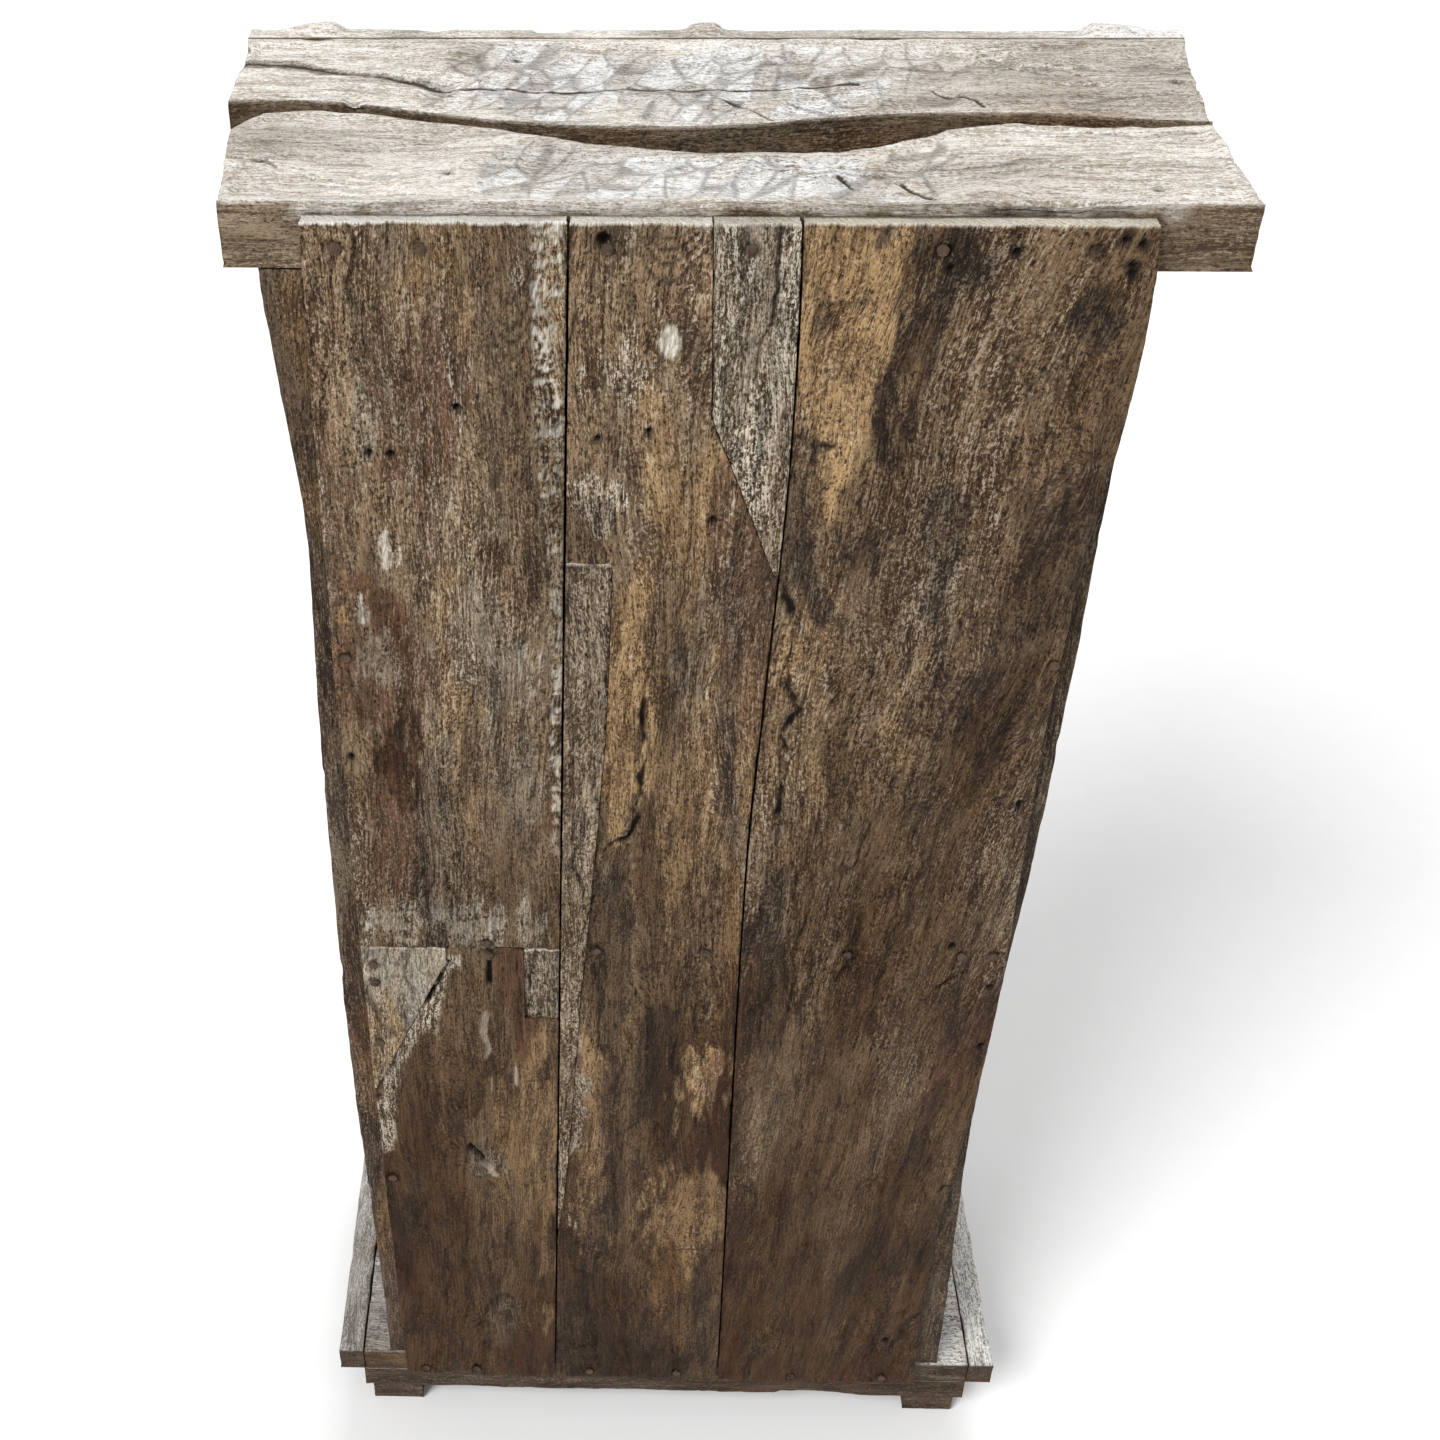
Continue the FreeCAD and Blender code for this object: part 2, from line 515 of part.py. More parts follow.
# Face frame: stiles, tenoned rails and the strips that the doors close on
def make_face_frame():
    nodes["stile_left"] = box(LEFT_X, LEFT_JAMB_X, FRONT_Y, STILE_REAR_Y, FLOOR_Z, CEILING_Z)
    nodes["stile_right"] = box(RIGHT_JAMB_X, RIGHT_X, FRONT_Y, STILE_REAR_Y, FLOOR_Z, CEILING_Z)
    tenon_y0 = FRONT_Y + (STILE_T - RAIL_TENON_T) / 2
    tenon_y1 = tenon_y0 + RAIL_TENON_T
    rails = (("head_rail", CEILING_Z - HEAD_H, CEILING_Z), ("sill_rail", FLOOR_Z, FLOOR_Z + SILL_H))
    for name, z0, z1 in rails:
        rail = box(LEFT_JAMB_X, RIGHT_JAMB_X, FRONT_Y, STILE_REAR_Y, z0, z1)
        tenon_z0 = z0 + RAIL_TENON_SHOULDER
        tenon_z1 = z1 - RAIL_TENON_SHOULDER
        reach_left = LEFT_JAMB_X - RAIL_TENON_L
        reach_right = RIGHT_JAMB_X + RAIL_TENON_L
        tenons = box(reach_left, reach_right, tenon_y0, tenon_y1, tenon_z0, tenon_z1)
        nodes[name] = rail.fuse(tenons).removeSplitter()
        mortise = box(reach_left - TENON_END_ROOM, reach_right + TENON_END_ROOM, tenon_y0 - TENON_PLAY,
                      tenon_y1 + TENON_PLAY, tenon_z0 - TENON_PLAY, tenon_z1 + TENON_PLAY)
        nodes["stile_left"] = nodes["stile_left"].cut(mortise)
        nodes["stile_right"] = nodes["stile_right"].cut(mortise)
    stop_rear = STILE_REAR_Y + STOP_T
    upper = box(LEFT_JAMB_X, RIGHT_JAMB_X, STILE_REAR_Y, stop_rear, DOOR_TOP_Z - STOP_LAP,
                DOOR_TOP_Z + STOP_HEAD_LAP)
    lower = box(LEFT_JAMB_X, RIGHT_JAMB_X, STILE_REAR_Y, stop_rear, FLOOR_Z, DOOR_BOTTOM_Z + STOP_LAP)
    nodes["door_stops"] = Part.makeCompound([upper, lower])


def ledge_levels():
    first = DOOR_BOTTOM_Z + LEDGE_FROM_END
    last = DOOR_TOP_Z - LEDGE_FROM_END
    return {"bottom": first, "middle": (first + last) / 2, "top": last}


# Doors: two planks each, held by three ledges behind them
def make_door(hand, jamb_x, inward):
    def across(start, end):
        edge = jamb_x + inward * DOOR_SIDE_GAP
        return sorted([edge + inward * start, edge + inward * end])

    door = "door_" + hand
    planks = (("_hanging_plank", 0.0, HANGING_PLANK_W),
              ("_meeting_plank", HANGING_PLANK_W + PLANK_GAP, DOOR_W))
    for name, start, end in planks:
        nodes[door + name] = box(*across(start, end), FRONT_Y, DOOR_REAR_Y, DOOR_BOTTOM_Z, DOOR_TOP_Z)
    for place, level in ledge_levels().items():
        nodes[door + "_ledge_" + place] = box(*across(LEDGE_END_GAP, DOOR_W - LEDGE_END_GAP), DOOR_REAR_Y,
                                              LEDGE_REAR_Y, level - LEDGE_H / 2, level + LEDGE_H / 2)


def hinge_leaf(pin_x, level, away, outline, knuckles):
    """A leaf of (reach, half height) corners on one side of the pin, with its knuckles bored for the pin."""
    leaf_rear = FRONT_Y
    leaf_front = FRONT_Y - LEAF_T
    corners = [(pin_x + away * reach, level + half) for reach, half in outline]
    corners = corners + [(pin_x + away * reach, level - half) for reach, half in reversed(outline)]
    leaf = upright_prism(corners, leaf_front, leaf_rear)
    root = pin_x + away * outline[0][0]
    for z0, z1 in knuckles:
        xs = sorted([pin_x, root])
        leaf = leaf.fuse(box(*xs, leaf_front, leaf_rear, z0, z1))
        leaf = leaf.fuse(rod(KNUCKLE_R, z1 - z0, Vec(pin_x, PIN_Y, z0), ALONG_Z))
    bore = rod(PIN_R + PIN_PLAY, PLATE_H, Vec(pin_x, PIN_Y, level - PLATE_H / 2), ALONG_Z)
    return leaf.cut(bore).removeSplitter()


# Strap hinges: a plate on the stile, a strap on the door and a headed pin
def make_hinges():
    plates = []
    pins = []
    plate_nails = []
    root = KNUCKLE_R + LEAF_ROOT_GAP
    half_middle = MIDDLE_KNUCKLE_H / 2
    levels = ledge_levels()
    for hand, jamb_x, inward in (("left", LEFT_JAMB_X, 1), ("right", RIGHT_JAMB_X, -1)):
        door = "door_" + hand
        pin_x = jamb_x + inward * DOOR_SIDE_GAP / 2
        straps = []
        strap_nails = []
        for place in ("bottom", "top"):
            level = levels[place]
            outer_knuckles = [(level - PLATE_H / 2, level - half_middle - KNUCKLE_GAP),
                              (level + half_middle + KNUCKLE_GAP, level + PLATE_H / 2)]
            plate = [(root, PLATE_H / 2), (PLATE_W, PLATE_H / 2)]
            plates.append(hinge_leaf(pin_x, level, -inward, plate, outer_knuckles))
            strap = [(root, STRAP_ROOT_H / 2), (STRAP_L - STRAP_TIP_H, STRAP_TIP_H / 2),
                     (STRAP_L, STRAP_END_H / 2)]
            middle_knuckle = [(level - half_middle, level + half_middle)]
            straps.append(hinge_leaf(pin_x, level, inward, strap, middle_knuckle))
            pin_start = Vec(pin_x, PIN_Y, level - PLATE_H / 2 - PIN_END)
            head_start = Vec(pin_x, PIN_Y, level + PLATE_H / 2)
            pin = rod(PIN_R, PLATE_H + PIN_END, pin_start, ALONG_Z)
            pins.append(pin.fuse(rod(PIN_HEAD_R, PIN_END, head_start, ALONG_Z)).removeSplitter())
            for reach in STRAP_NAILS:
                point = Vec(pin_x + inward * reach, FRONT_Y - LEAF_T, level)
                strap_nails.append((point, ALONG_Y, DOOR_NAIL_L))
            for rise in (-PLATE_NAIL_Z, PLATE_NAIL_Z):
                point = Vec(pin_x - inward * PLATE_NAIL_X, FRONT_Y - LEAF_T, level + rise)
                plate_nails.append((point, ALONG_Y, DOOR_NAIL_L))
        nodes["hinge_straps_" + hand] = Part.makeCompound(straps)
        drilled = [door + "_hanging_plank", door + "_meeting_plank", door + "_ledge_bottom",
                   door + "_ledge_top", "hinge_straps_" + hand]
        drive_nails(door + "_nails", strap_nails, drilled)
    nodes["hinge_plates"] = Part.makeCompound(plates)
    nodes["hinge_pins"] = Part.makeCompound(pins)
    drive_nails("carcass_nails", plate_nails,
                ["hinge_plates", "stile_left", "stile_right", "side_panel_left", "side_panel_right"])


# Pulls: an eye with its rose, driven into the meeting plank, and a ring that hangs in it
def make_pulls():
    eye_y = FRONT_Y - EYE_STANDOFF
    for hand, sign in (("left", -1), ("right", 1)):
        x = MEETING_X + sign * (DOOR_MEETING_GAP / 2 + PULL_FROM_EDGE)
        centre = Vec(x, eye_y, PULL_Z)
        eye = Part.makeTorus(EYE_R, EYE_WIRE_R, centre, ALONG_X)
        shank_start = Vec(x, eye_y + EYE_R, PULL_Z)
        shank_end = FRONT_Y + EYE_SHANK_L
        shank = rod(EYE_SHANK_R, shank_end - shank_start.y, shank_start, ALONG_Y)
        rose = rod(ROSE_R, ROSE_T, Vec(x, FRONT_Y - ROSE_T, PULL_Z), ALONG_Y)
        nodes["pull_eye_" + hand] = eye.fuse(shank).fuse(rose).removeSplitter()
        hole = rod(EYE_SHANK_R + EYE_HOLE_PLAY, EYE_SHANK_L + EYE_HOLE_PLAY, Vec(x, FRONT_Y, PULL_Z), ALONG_Y)
        plank = "door_" + hand + "_meeting_plank"
        nodes[plank] = nodes[plank].cut(hole)
        nodes["pull_ring_" + hand] = Part.makeTorus(RING_R, RING_WIRE_R, centre - ALONG_Z * RING_R, ALONG_Y)


# Turn button: lies along the head rail, and turns down over both doors' meeting edges
def make_turn_button():
    z = CEILING_Z - HEAD_H + BUTTON_DROP
    rear = FRONT_Y - BUTTON_GAP
    front = rear - BUTTON_T
    arm = box(MEETING_X, MEETING_X + BUTTON_L - BUTTON_W / 2, front, rear, z - BUTTON_W / 2, z + BUTTON_W / 2)
    ends = [rod(BUTTON_W / 2, BUTTON_T, Vec(x, front, z), ALONG_Y)
            for x in (MEETING_X, MEETING_X + BUTTON_L - BUTTON_W / 2)]
    hole = rod(BUTTON_SCREW_R + BUTTON_SCREW_PLAY, BUTTON_T, Vec(MEETING_X, front, z), ALONG_Y)
    nodes["turn_button"] = arm.fuse(ends).cut(hole).removeSplitter()
    head_start = Vec(MEETING_X, front - BUTTON_HEAD_GAP - BUTTON_SCREW_HEAD_T, z)
    shank_end = FRONT_Y + BUTTON_SCREW_IN_RAIL
    head = rod(BUTTON_SCREW_HEAD_R, BUTTON_SCREW_HEAD_T, head_start, ALONG_Y)
    shank = rod(BUTTON_SCREW_R, shank_end - head_start.y, head_start, ALONG_Y)
    nodes["turn_button_screw"] = head.fuse(shank).removeSplitter()
    pilot = rod(BUTTON_SCREW_R + BUTTON_SCREW_PLAY, BUTTON_SCREW_IN_RAIL + BUTTON_SCREW_PLAY,
                Vec(MEETING_X, FRONT_Y, z), ALONG_Y)
    nodes["head_rail"] = nodes["head_rail"].cut(pilot)


# Nails of the back boards: into the rear slab, the base, the middle shelf and the sides
def nail_back():
    def place(x, z):
        return (Vec(x, BACK_Y, z), -ALONG_Y, BACK_NAIL_L, NAIL_SINK)

    right_sides = {"right": BACK_RIGHT_X, "middle": BACK_RIGHT_X - RIGHT_BOARD_TOP_W, "left": LEFT_SEAM_X}
    top_z = TOP_Z - TOP_NAIL_DROP
    base_z = FLOOR_Z - BASE_NAIL_DROP
    places = []
    nail_xs = {column: [right_sides[column] - offset for offset in offsets]
               for column, offsets in BOARD_NAIL_OFFSETS.items()}
    nail_xs["middle"].append(LEFT_SEAM_X + WEDGE_NAIL)
    for column, xs in nail_xs.items():
        for x in xs:
            places.append(place(x, top_z))
            places.append(place(x, base_z))
            if column != "right":
                places.append(place(x, JOINT_Z))
    middle_of_right = BACK_RIGHT_X - (CORNER_PATCH_W + RIGHT_BOARD_TOP_W - BLOCK_PATCH_W) / 2
    places.append(place(middle_of_right, JOINT_Z + JOINT_NAIL_STEP))
    places.append(place(middle_of_right, JOINT_Z - JOINT_NAIL_STEP))
    right_nail_x = BACK_RIGHT_X - BOARD_EDGE_NAIL
    left_nail_x = BACK_LEFT_X + BOARD_EDGE_NAIL
    for level in SHELF_LEVELS.values():
        if level != JOINT_Z:
            places.append(place(right_nail_x, level))
        places.append(place(left_nail_x, level))
    for share in PATCH_NAILS:
        places.append(place(right_nail_x, JOINT_Z - share * CORNER_PATCH_H))
    boards = ["back_board_left", "back_board_middle", "back_board_right_upper", "back_board_right_lower",
              "corner_patch", "block_patch", "upper_wedge", "lower_wedge"]
    carriers = ["top_slab_rear", "base_board", "shelf_middle", "side_panel_left", "side_panel_right"]
    drive_nails("back_nails", places, boards + carriers)


# Nails of the cornice, stiles and cleats
def nail_carcass():
    cornice_z = CEILING_Z + SLAB_T / 2
    places = [(Vec(share * TOP_HALF, FRONT_Y - CORNICE_T, cornice_z), ALONG_Y, LONG_NAIL_L)
              for share in CORNICE_NAILS]
    drive_nails("carcass_nails", places, ["cornice", "top_slab_front"])
    stile_levels = [FLOOR_Z + STILE_NAIL_END / 2, FLOOR_Z + SIDE_H / 2, CEILING_Z - STILE_NAIL_END]
    for hand, x in (("left", LEFT_X + SIDE_T / 2), ("right", RIGHT_X - SIDE_T / 2)):
        places = [(Vec(x, FRONT_Y, level), ALONG_Y, LONG_NAIL_L) for level in stile_levels]
        drive_nails("carcass_nails", places, ["stile_" + hand, "side_panel_" + hand])
    cleat_levels = [level - (SHELF_T + SHELF_CLEAT) / 2 for level in SHELF_LEVELS.values()]
    cleat_ys = (SHELF_FRONT_Y + CLEAT_NAIL_END, REAR_Y - CLEAT_NAIL_END)
    for hand, inner_x, inward in (("left", LEFT_INNER_X, 1), ("right", RIGHT_INNER_X, -1)):
        outward = ALONG_X * -inward
        shelf_face = inner_x + inward * SHELF_CLEAT
        top_face = inner_x + inward * TOP_CLEAT
        places = [(Vec(shelf_face, y, level), outward, SHORT_NAIL_L)
                  for level in cleat_levels for y in cleat_ys]
        places += [(Vec(top_face, y, CEILING_Z - TOP_CLEAT / 2), outward, SHORT_NAIL_L)
                   for y in (STILE_REAR_Y + CLEAT_NAIL_END, REAR_Y - CLEAT_NAIL_END)]
        drilled = ["shelf_cleats_" + hand, "top_cleat_" + hand, "side_panel_" + hand]
        drive_nails("carcass_nails", places, drilled)


# Nails that hold each door's planks on its ledges
def nail_door(hand, jamb_x, inward):
    door = "door_" + hand
    edge = jamb_x + inward * DOOR_SIDE_GAP
    middles = [HANGING_PLANK_W / 2, (HANGING_PLANK_W + PLANK_GAP + DOOR_W) / 2]
    places = []
    for level in ledge_levels().values():
        for middle in middles:
            for rise in (-LEDGE_NAIL_STEP, LEDGE_NAIL_STEP):
                places.append((Vec(edge + inward * middle, FRONT_Y, level + rise), ALONG_Y, DOOR_NAIL_L))
    ledges = [door + "_ledge_" + place for place in ledge_levels()]
    drive_nails(door + "_nails", places, [door + "_hanging_plank", door + "_meeting_plank"] + ledges)


make_base()
make_top()
make_sides()
make_back()
make_shelves()
make_face_frame()
for door_hand, door_jamb, door_inward in (("left", LEFT_JAMB_X, 1), ("right", RIGHT_JAMB_X, -1)):
    make_door(door_hand, door_jamb, door_inward)
    nail_door(door_hand, door_jamb, door_inward)
make_hinges()
make_pulls()
make_turn_button()
nail_back()
nail_carcass()

os.makedirs("parts", exist_ok=True)
for node_name, shape in nodes.items():
    shape.exportStep("parts/" + node_name + ".step")
    print(node_name, len(shape.Solids), round(shape.Volume), shape.isValid())
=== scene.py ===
import math

import bmesh
import bpy
import numpy as np
from mathutils import Matrix, Vector
from mathutils.kdtree import KDTree


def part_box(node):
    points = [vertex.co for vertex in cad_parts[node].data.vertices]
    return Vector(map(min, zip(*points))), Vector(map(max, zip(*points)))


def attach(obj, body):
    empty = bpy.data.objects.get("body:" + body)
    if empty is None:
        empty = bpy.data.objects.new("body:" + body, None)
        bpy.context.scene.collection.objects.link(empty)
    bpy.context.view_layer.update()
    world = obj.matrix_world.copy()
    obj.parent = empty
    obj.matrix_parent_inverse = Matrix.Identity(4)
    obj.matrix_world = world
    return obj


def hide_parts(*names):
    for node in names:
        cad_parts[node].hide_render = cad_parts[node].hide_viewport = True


# The looks of a rustic plank cabinet of old timber. The cabinet faces -Y and its back boards face +Y.
# Places and sizes are metres, unless a comment says they are millimetres.
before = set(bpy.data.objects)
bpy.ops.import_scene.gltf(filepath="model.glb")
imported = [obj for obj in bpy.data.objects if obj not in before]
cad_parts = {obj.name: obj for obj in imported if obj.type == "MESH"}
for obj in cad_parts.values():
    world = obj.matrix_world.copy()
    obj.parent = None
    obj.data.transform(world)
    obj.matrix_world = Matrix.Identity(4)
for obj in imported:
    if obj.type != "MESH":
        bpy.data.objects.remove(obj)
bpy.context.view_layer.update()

MM = 0.001
X, Y, Z = 0, 1, 2
AXES = (Vector((1, 0, 0)), Vector((0, 1, 0)), Vector((0, 0, 1)))
UP, REAR, FRONT, DOWN = AXES[Z], AXES[Y], -AXES[Y], -AXES[Z]
MERGE = 0.005 * MM
SLIVER = 0.25 * MM
SAME_PLANE = 0.1 * MM
SAME_WAY = 0.999
CUT_SNAP = 1e-7
SHARP_EDGE = math.radians(42)
ON_FACE = 0.01 * MM
AT_RIM = 0.001 * MM
RIM_REACH = 14 * MM
RIM_TURNS = 40

# Every board: wear of its far side in millimetres, share of the wear that its walls keep beside a joint,
# roughness at the start, and how far the grain shifts with the seed
FAR_DEPTH = 0.15
WALL_SHARE = 0.2
PLAIN_ROUGH = 0.7
GRAIN_SHIFT = 0.37

# Smooth noise from a table of random values
LATTICE = 64
NOISE_SEED = 41
NOISE_TABLE = np.random.default_rng(NOISE_SEED).uniform(-1.0, 1.0, LATTICE ** 3).astype(np.float32)


def noise(points, cells, seed=0):
    """Smooth noise, about -1 to 1, with that many cells per metre on each axis."""
    place = points * np.asarray(cells, float) + np.array([17.3, 5.9, 29.1]) * (seed + 1)
    corner = np.floor(place)
    part = (place - corner).astype(np.float32)
    fx, fy, fz = (part * part * (3.0 - 2.0 * part)).T
    corner = corner.astype(np.int32)
    x0, y0, z0 = (corner % LATTICE).T
    x1, y1, z1 = ((corner + 1) % LATTICE).T

    def edge(x, y):
        base = (x * LATTICE + y) * LATTICE
        low = NOISE_TABLE[base + z0]
        return low + fz * (NOISE_TABLE[base + z1] - low)

    def side(x):
        low = edge(x, y0)
        return low + fy * (edge(x, y1) - low)

    low = side(x0)
    return 1.5 * (low + fx * (side(x1) - low)).astype(float)


def layered(points, cells, layers, seed=0):
    """Noise with finer layers added, each at twice the cells and half the strength."""
    cells = np.asarray(cells, float)
    return sum(noise(points, cells * 2 ** k, seed + 7 * k) / 2 ** k for k in range(layers)) / 1.4


def rise(low, high, value):
    """0 at low and 1 at high, with a smooth step between; low may be the larger."""
    share = np.clip((value - low) / (high - low), 0.0, 1.0)
    return share * share * (3.0 - 2.0 * share)


# Mesh making
def joined(elements, neighbours):
    """Mesh elements in groups that hang together, in the same order each time."""
    unseen = dict.fromkeys(elements)
    while unseen:
        group, front = [], [unseen.popitem()[0]]
        while front:
            element = front.pop()
            group.append(element)
            for near in neighbours(element):
                if near in unseen:
                    del unseen[near]
                    front.append(near)
        yield group


def islands(bm):
    """The faces of each connected part."""
    return joined(bm.faces, lambda face: [f for e in face.edges for f in e.link_faces])


def rim_loops(faces):
    """The closed boundary loops of some faces, the largest first."""
    rim = [e for f in faces for e in f.edges if e.is_boundary]

    def extent(loop):
        places = np.array([v.co for e in loop for v in e.verts])
        return float(np.ptp(places, axis=0).max())

    loops = joined(rim, lambda edge: [e for v in edge.verts for e in v.link_edges])
    return sorted(loops, key=extent, reverse=True)


def flat_side(node, normal):
    """One flat side of a CAD node: a polygon for each of its solids, with the drilled holes closed."""
    bm = bmesh.new()
    bm.from_mesh(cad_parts[node].data)
    bmesh.ops.remove_doubles(bm, verts=bm.verts, dist=MERGE)
    level = max(v.co.dot(normal) for v in bm.verts) - SAME_PLANE

    def on_side(face):
        return face.normal.dot(normal) > SAME_WAY and face.calc_center_median().dot(normal) > level

    bmesh.ops.delete(bm, geom=[f for f in bm.faces if not on_side(f)], context="FACES")
    for island in list(islands(bm)):
        for loop in rim_loops(island)[1:]:
            bmesh.ops.edgeloop_fill(bm, edges=loop)
    bmesh.ops.dissolve_faces(bm, faces=bm.faces[:], use_verts=False)
    return bm


def cut_between(bm, faces, axis, places):
    """Cut faces by planes square to an axis: at the middle place first, then each half by itself."""
    if not places:
        return
    middle = len(places) // 2
    place = places[middle]
    edges = list(dict.fromkeys(e for f in faces for e in f.edges))
    verts = list(dict.fromkeys(v for f in faces for v in f.verts))
    made = bmesh.ops.bisect_plane(bm, geom=verts + edges + faces, dist=CUT_SNAP,
                                  plane_co=AXES[axis] * place, plane_no=AXES[axis])["geom"]
    faces = [g for g in made if isinstance(g, bmesh.types.BMFace)]
    below = [f for f in faces if f.calc_center_median()[axis] < place]
    above = [f for f in faces if f.calc_center_median()[axis] >= place]
    cut_between(bm, below, axis, places[:middle])
    cut_between(bm, above, axis, places[middle + 1:])


def cut_in_rows(bm, axis, step):
    """Cut all faces by planes square to an axis, about one step apart."""
    found = [v.co[axis] for v in bm.verts]
    low, high = min(found), max(found)
    count = max(1, round((high - low) / step))
    cut_between(bm, bm.faces[:], axis, [low + (high - low) * k / count for k in range(1, count)])


def raise_walls(bm, direction, depth, step):
    """Close a flat sheet to a board: walls from its rim, cut in rows, then the far side."""
    rim = [e for e in bm.edges if e.is_boundary]
    made = bmesh.ops.extrude_edge_only(bm, edges=rim)["geom"]
    verts = [g for g in made if isinstance(g, bmesh.types.BMVert)]
    bmesh.ops.translate(bm, verts=verts, vec=direction * depth)
    edges = [g for g in made if isinstance(g, bmesh.types.BMEdge)]
    far_rim = [e for e in edges if e.is_boundary]
    bmesh.ops.edgeloop_fill(bm, edges=far_rim)
    rows = max(2, round(depth / step))
    fresh = set(verts)
    uprights = [e for v in verts for e in v.link_edges if e.other_vert(v) not in fresh]
    bmesh.ops.subdivide_edges(bm, edges=uprights, cuts=rows - 1)
    bmesh.ops.recalc_face_normals(bm, faces=bm.faces)


def read_rows(values, name):
    """A vector property of mesh elements as an array with a row for each."""
    found = np.empty(len(values) * 3, np.float32)
    values.foreach_get(name, found)
    return found.reshape(-1, 3).astype(float)


# Stains, wear and painted light and shade that a board carries at each vertex, read by its material: dusk and
# groove are partly painted shade, flecks and white partly painted highlight
MARKS = ("ochre", "russet", "stain", "grey", "flecks", "groove",
         "sawn", "bleach", "bare", "white", "rough", "dusk")
FAR_MARKS = {"rough": 0.5, "dusk": 0.35, "flecks": 0.15}

# How far the grain wanders on each of its axes: in long bends, and in small curls
GRAIN_WAVES = ((0.006, 0.0008), (0.006, 0.0008), (0.009, 0.002))


class Board:
    """A CAD board made again as a fine mesh. Cuts and marks are gathered, then put on by done()."""

    def __init__(self, node, normal, along, steps, seed=0):
        side = flat_side(node, normal)
        face_axis = max(range(3), key=lambda k: abs(normal[k]))
        across = 3 - face_axis - along if face_axis != along else (along + 1) % 3
        cut_in_rows(side, along if face_axis != along else (along + 2) % 3, steps[0] * MM)
        cut_in_rows(side, across, steps[1] * MM)
        bmesh.ops.remove_doubles(side, verts=side.verts, dist=SLIVER)
        rim = [v.co.copy() for v in side.verts if v.is_boundary]
        low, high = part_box(node)
        thick = high[face_axis] - low[face_axis]
        raise_walls(side, -normal, thick, steps[2] * MM)
        self.node, self.seed, self.normal, self.along = node, seed, normal, along
        self.mesh = bpy.data.meshes.new(node)
        side.to_mesh(self.mesh)
        side.free()
        self.points = read_rows(self.mesh.vertices, "co")
        self.normals = read_rows(self.mesh.vertex_normals, "vector")
        self.facing = self.normals @ np.array(normal)
        self.level = float(np.array(high if sum(normal) > 0 else low)[face_axis])
        self.below = np.abs(self.points[:, face_axis] - self.level)
        tree = KDTree(len(rim))
        for k, place in enumerate(rim):
            tree.insert(place, k)
        tree.balance()
        nearest = [tree.find(p)[1:] for p in self.points]
        self.rim_gap = np.array([gap for k, gap in nearest])
        near_rim = np.array([k for k, gap in nearest])
        self.on_rim = (self.below < ON_FACE) & (self.rim_gap < AT_RIM)
        rim_vertex = np.zeros(len(rim), int)
        rim_vertex[near_rim[self.on_rim]] = np.flatnonzero(self.on_rim)
        self.rim_above = rim_vertex[near_rim]
        self.far_gap = np.abs(self.below - thick)
        self.depth = np.zeros(len(self.points))
        self.rough = np.full(len(self.points), PLAIN_ROUGH)
        self.waver = 1.0
        order = [across, face_axis if face_axis != along else (along + 2) % 3, along]
        self.grain = self.points[:, order] + GRAIN_SHIFT * seed
        self.straight_grain = self.grain.copy()
        self.marks = {name: np.zeros(len(self.points)) for name in MARKS}

    def flat(self, a, b):
        """Each vertex's place on two axes in millimetres."""
        return self.points[:, [a, b]] / MM

    def cut(self, depth):
        """Take wood away, in millimetres."""
        self.depth += depth

    def mark(self, name, amount):
        """Raise a mark to an amount from 0 to 1, where it is less."""
        self.marks[name] = np.maximum(self.marks[name], np.clip(amount, 0.0, 1.0))

    def bend_grain(self, shift):
        """Move the grain sideways, in metres."""
        self.grain[:, 0] += shift

    def keep_joints(self):
        """Leave the walls almost as they are, so the joint to the next board stays narrow."""
        on_side = self.below < ON_FACE
        self.normals[on_side] = np.array(self.normal)
        self.depth *= np.where(on_side, 1.0, WALL_SHARE)

    def spread_from_rim(self, shift):
        """Let the rim's shift die away over the face, so that no face folds over its neighbour."""
        ends = np.empty(len(self.mesh.edges) * 2, np.int32)
        self.mesh.edges.foreach_get("vertices", ends)
        free = (self.below < ON_FACE) & ~self.on_rim & (self.rim_gap < RIM_REACH)
        a, b = ends.reshape(-1, 2).T
        a, b = np.concatenate([a, b]), np.concatenate([b, a])
        a, b = a[free[a]], b[free[a]]
        inside = self.below[b] < ON_FACE
        a, b = a[inside], b[inside]
        count = np.maximum(np.bincount(a, minlength=len(free)), 1)
        for turn in range(RIM_TURNS):
            for axis in range(3):
                mean = np.bincount(a, shift[b, axis], len(free)) / count
                shift[free, axis] = mean[free]
        return shift

    def moved(self):
        """The vertices with the wood taken away."""
        face = np.array(self.normal)
        own = -self.normals * (np.maximum(self.depth, 0.0) * MM)[:, None]
        sunk = own @ face
        sideways = np.where(self.on_rim[:, None], own - sunk[:, None] * face, 0.0)
        share = np.clip(self.far_gap / (self.below + self.far_gap), 0.0, 1.0)
        on_wall = self.below > ON_FACE
        squash = np.where(on_wall, sunk[self.rim_above] * share, 0.0)
        spread = np.where(self.on_rim[:, None], 0.0, self.spread_from_rim(sideways))
        return self.points + own + squash[:, None] * face + spread

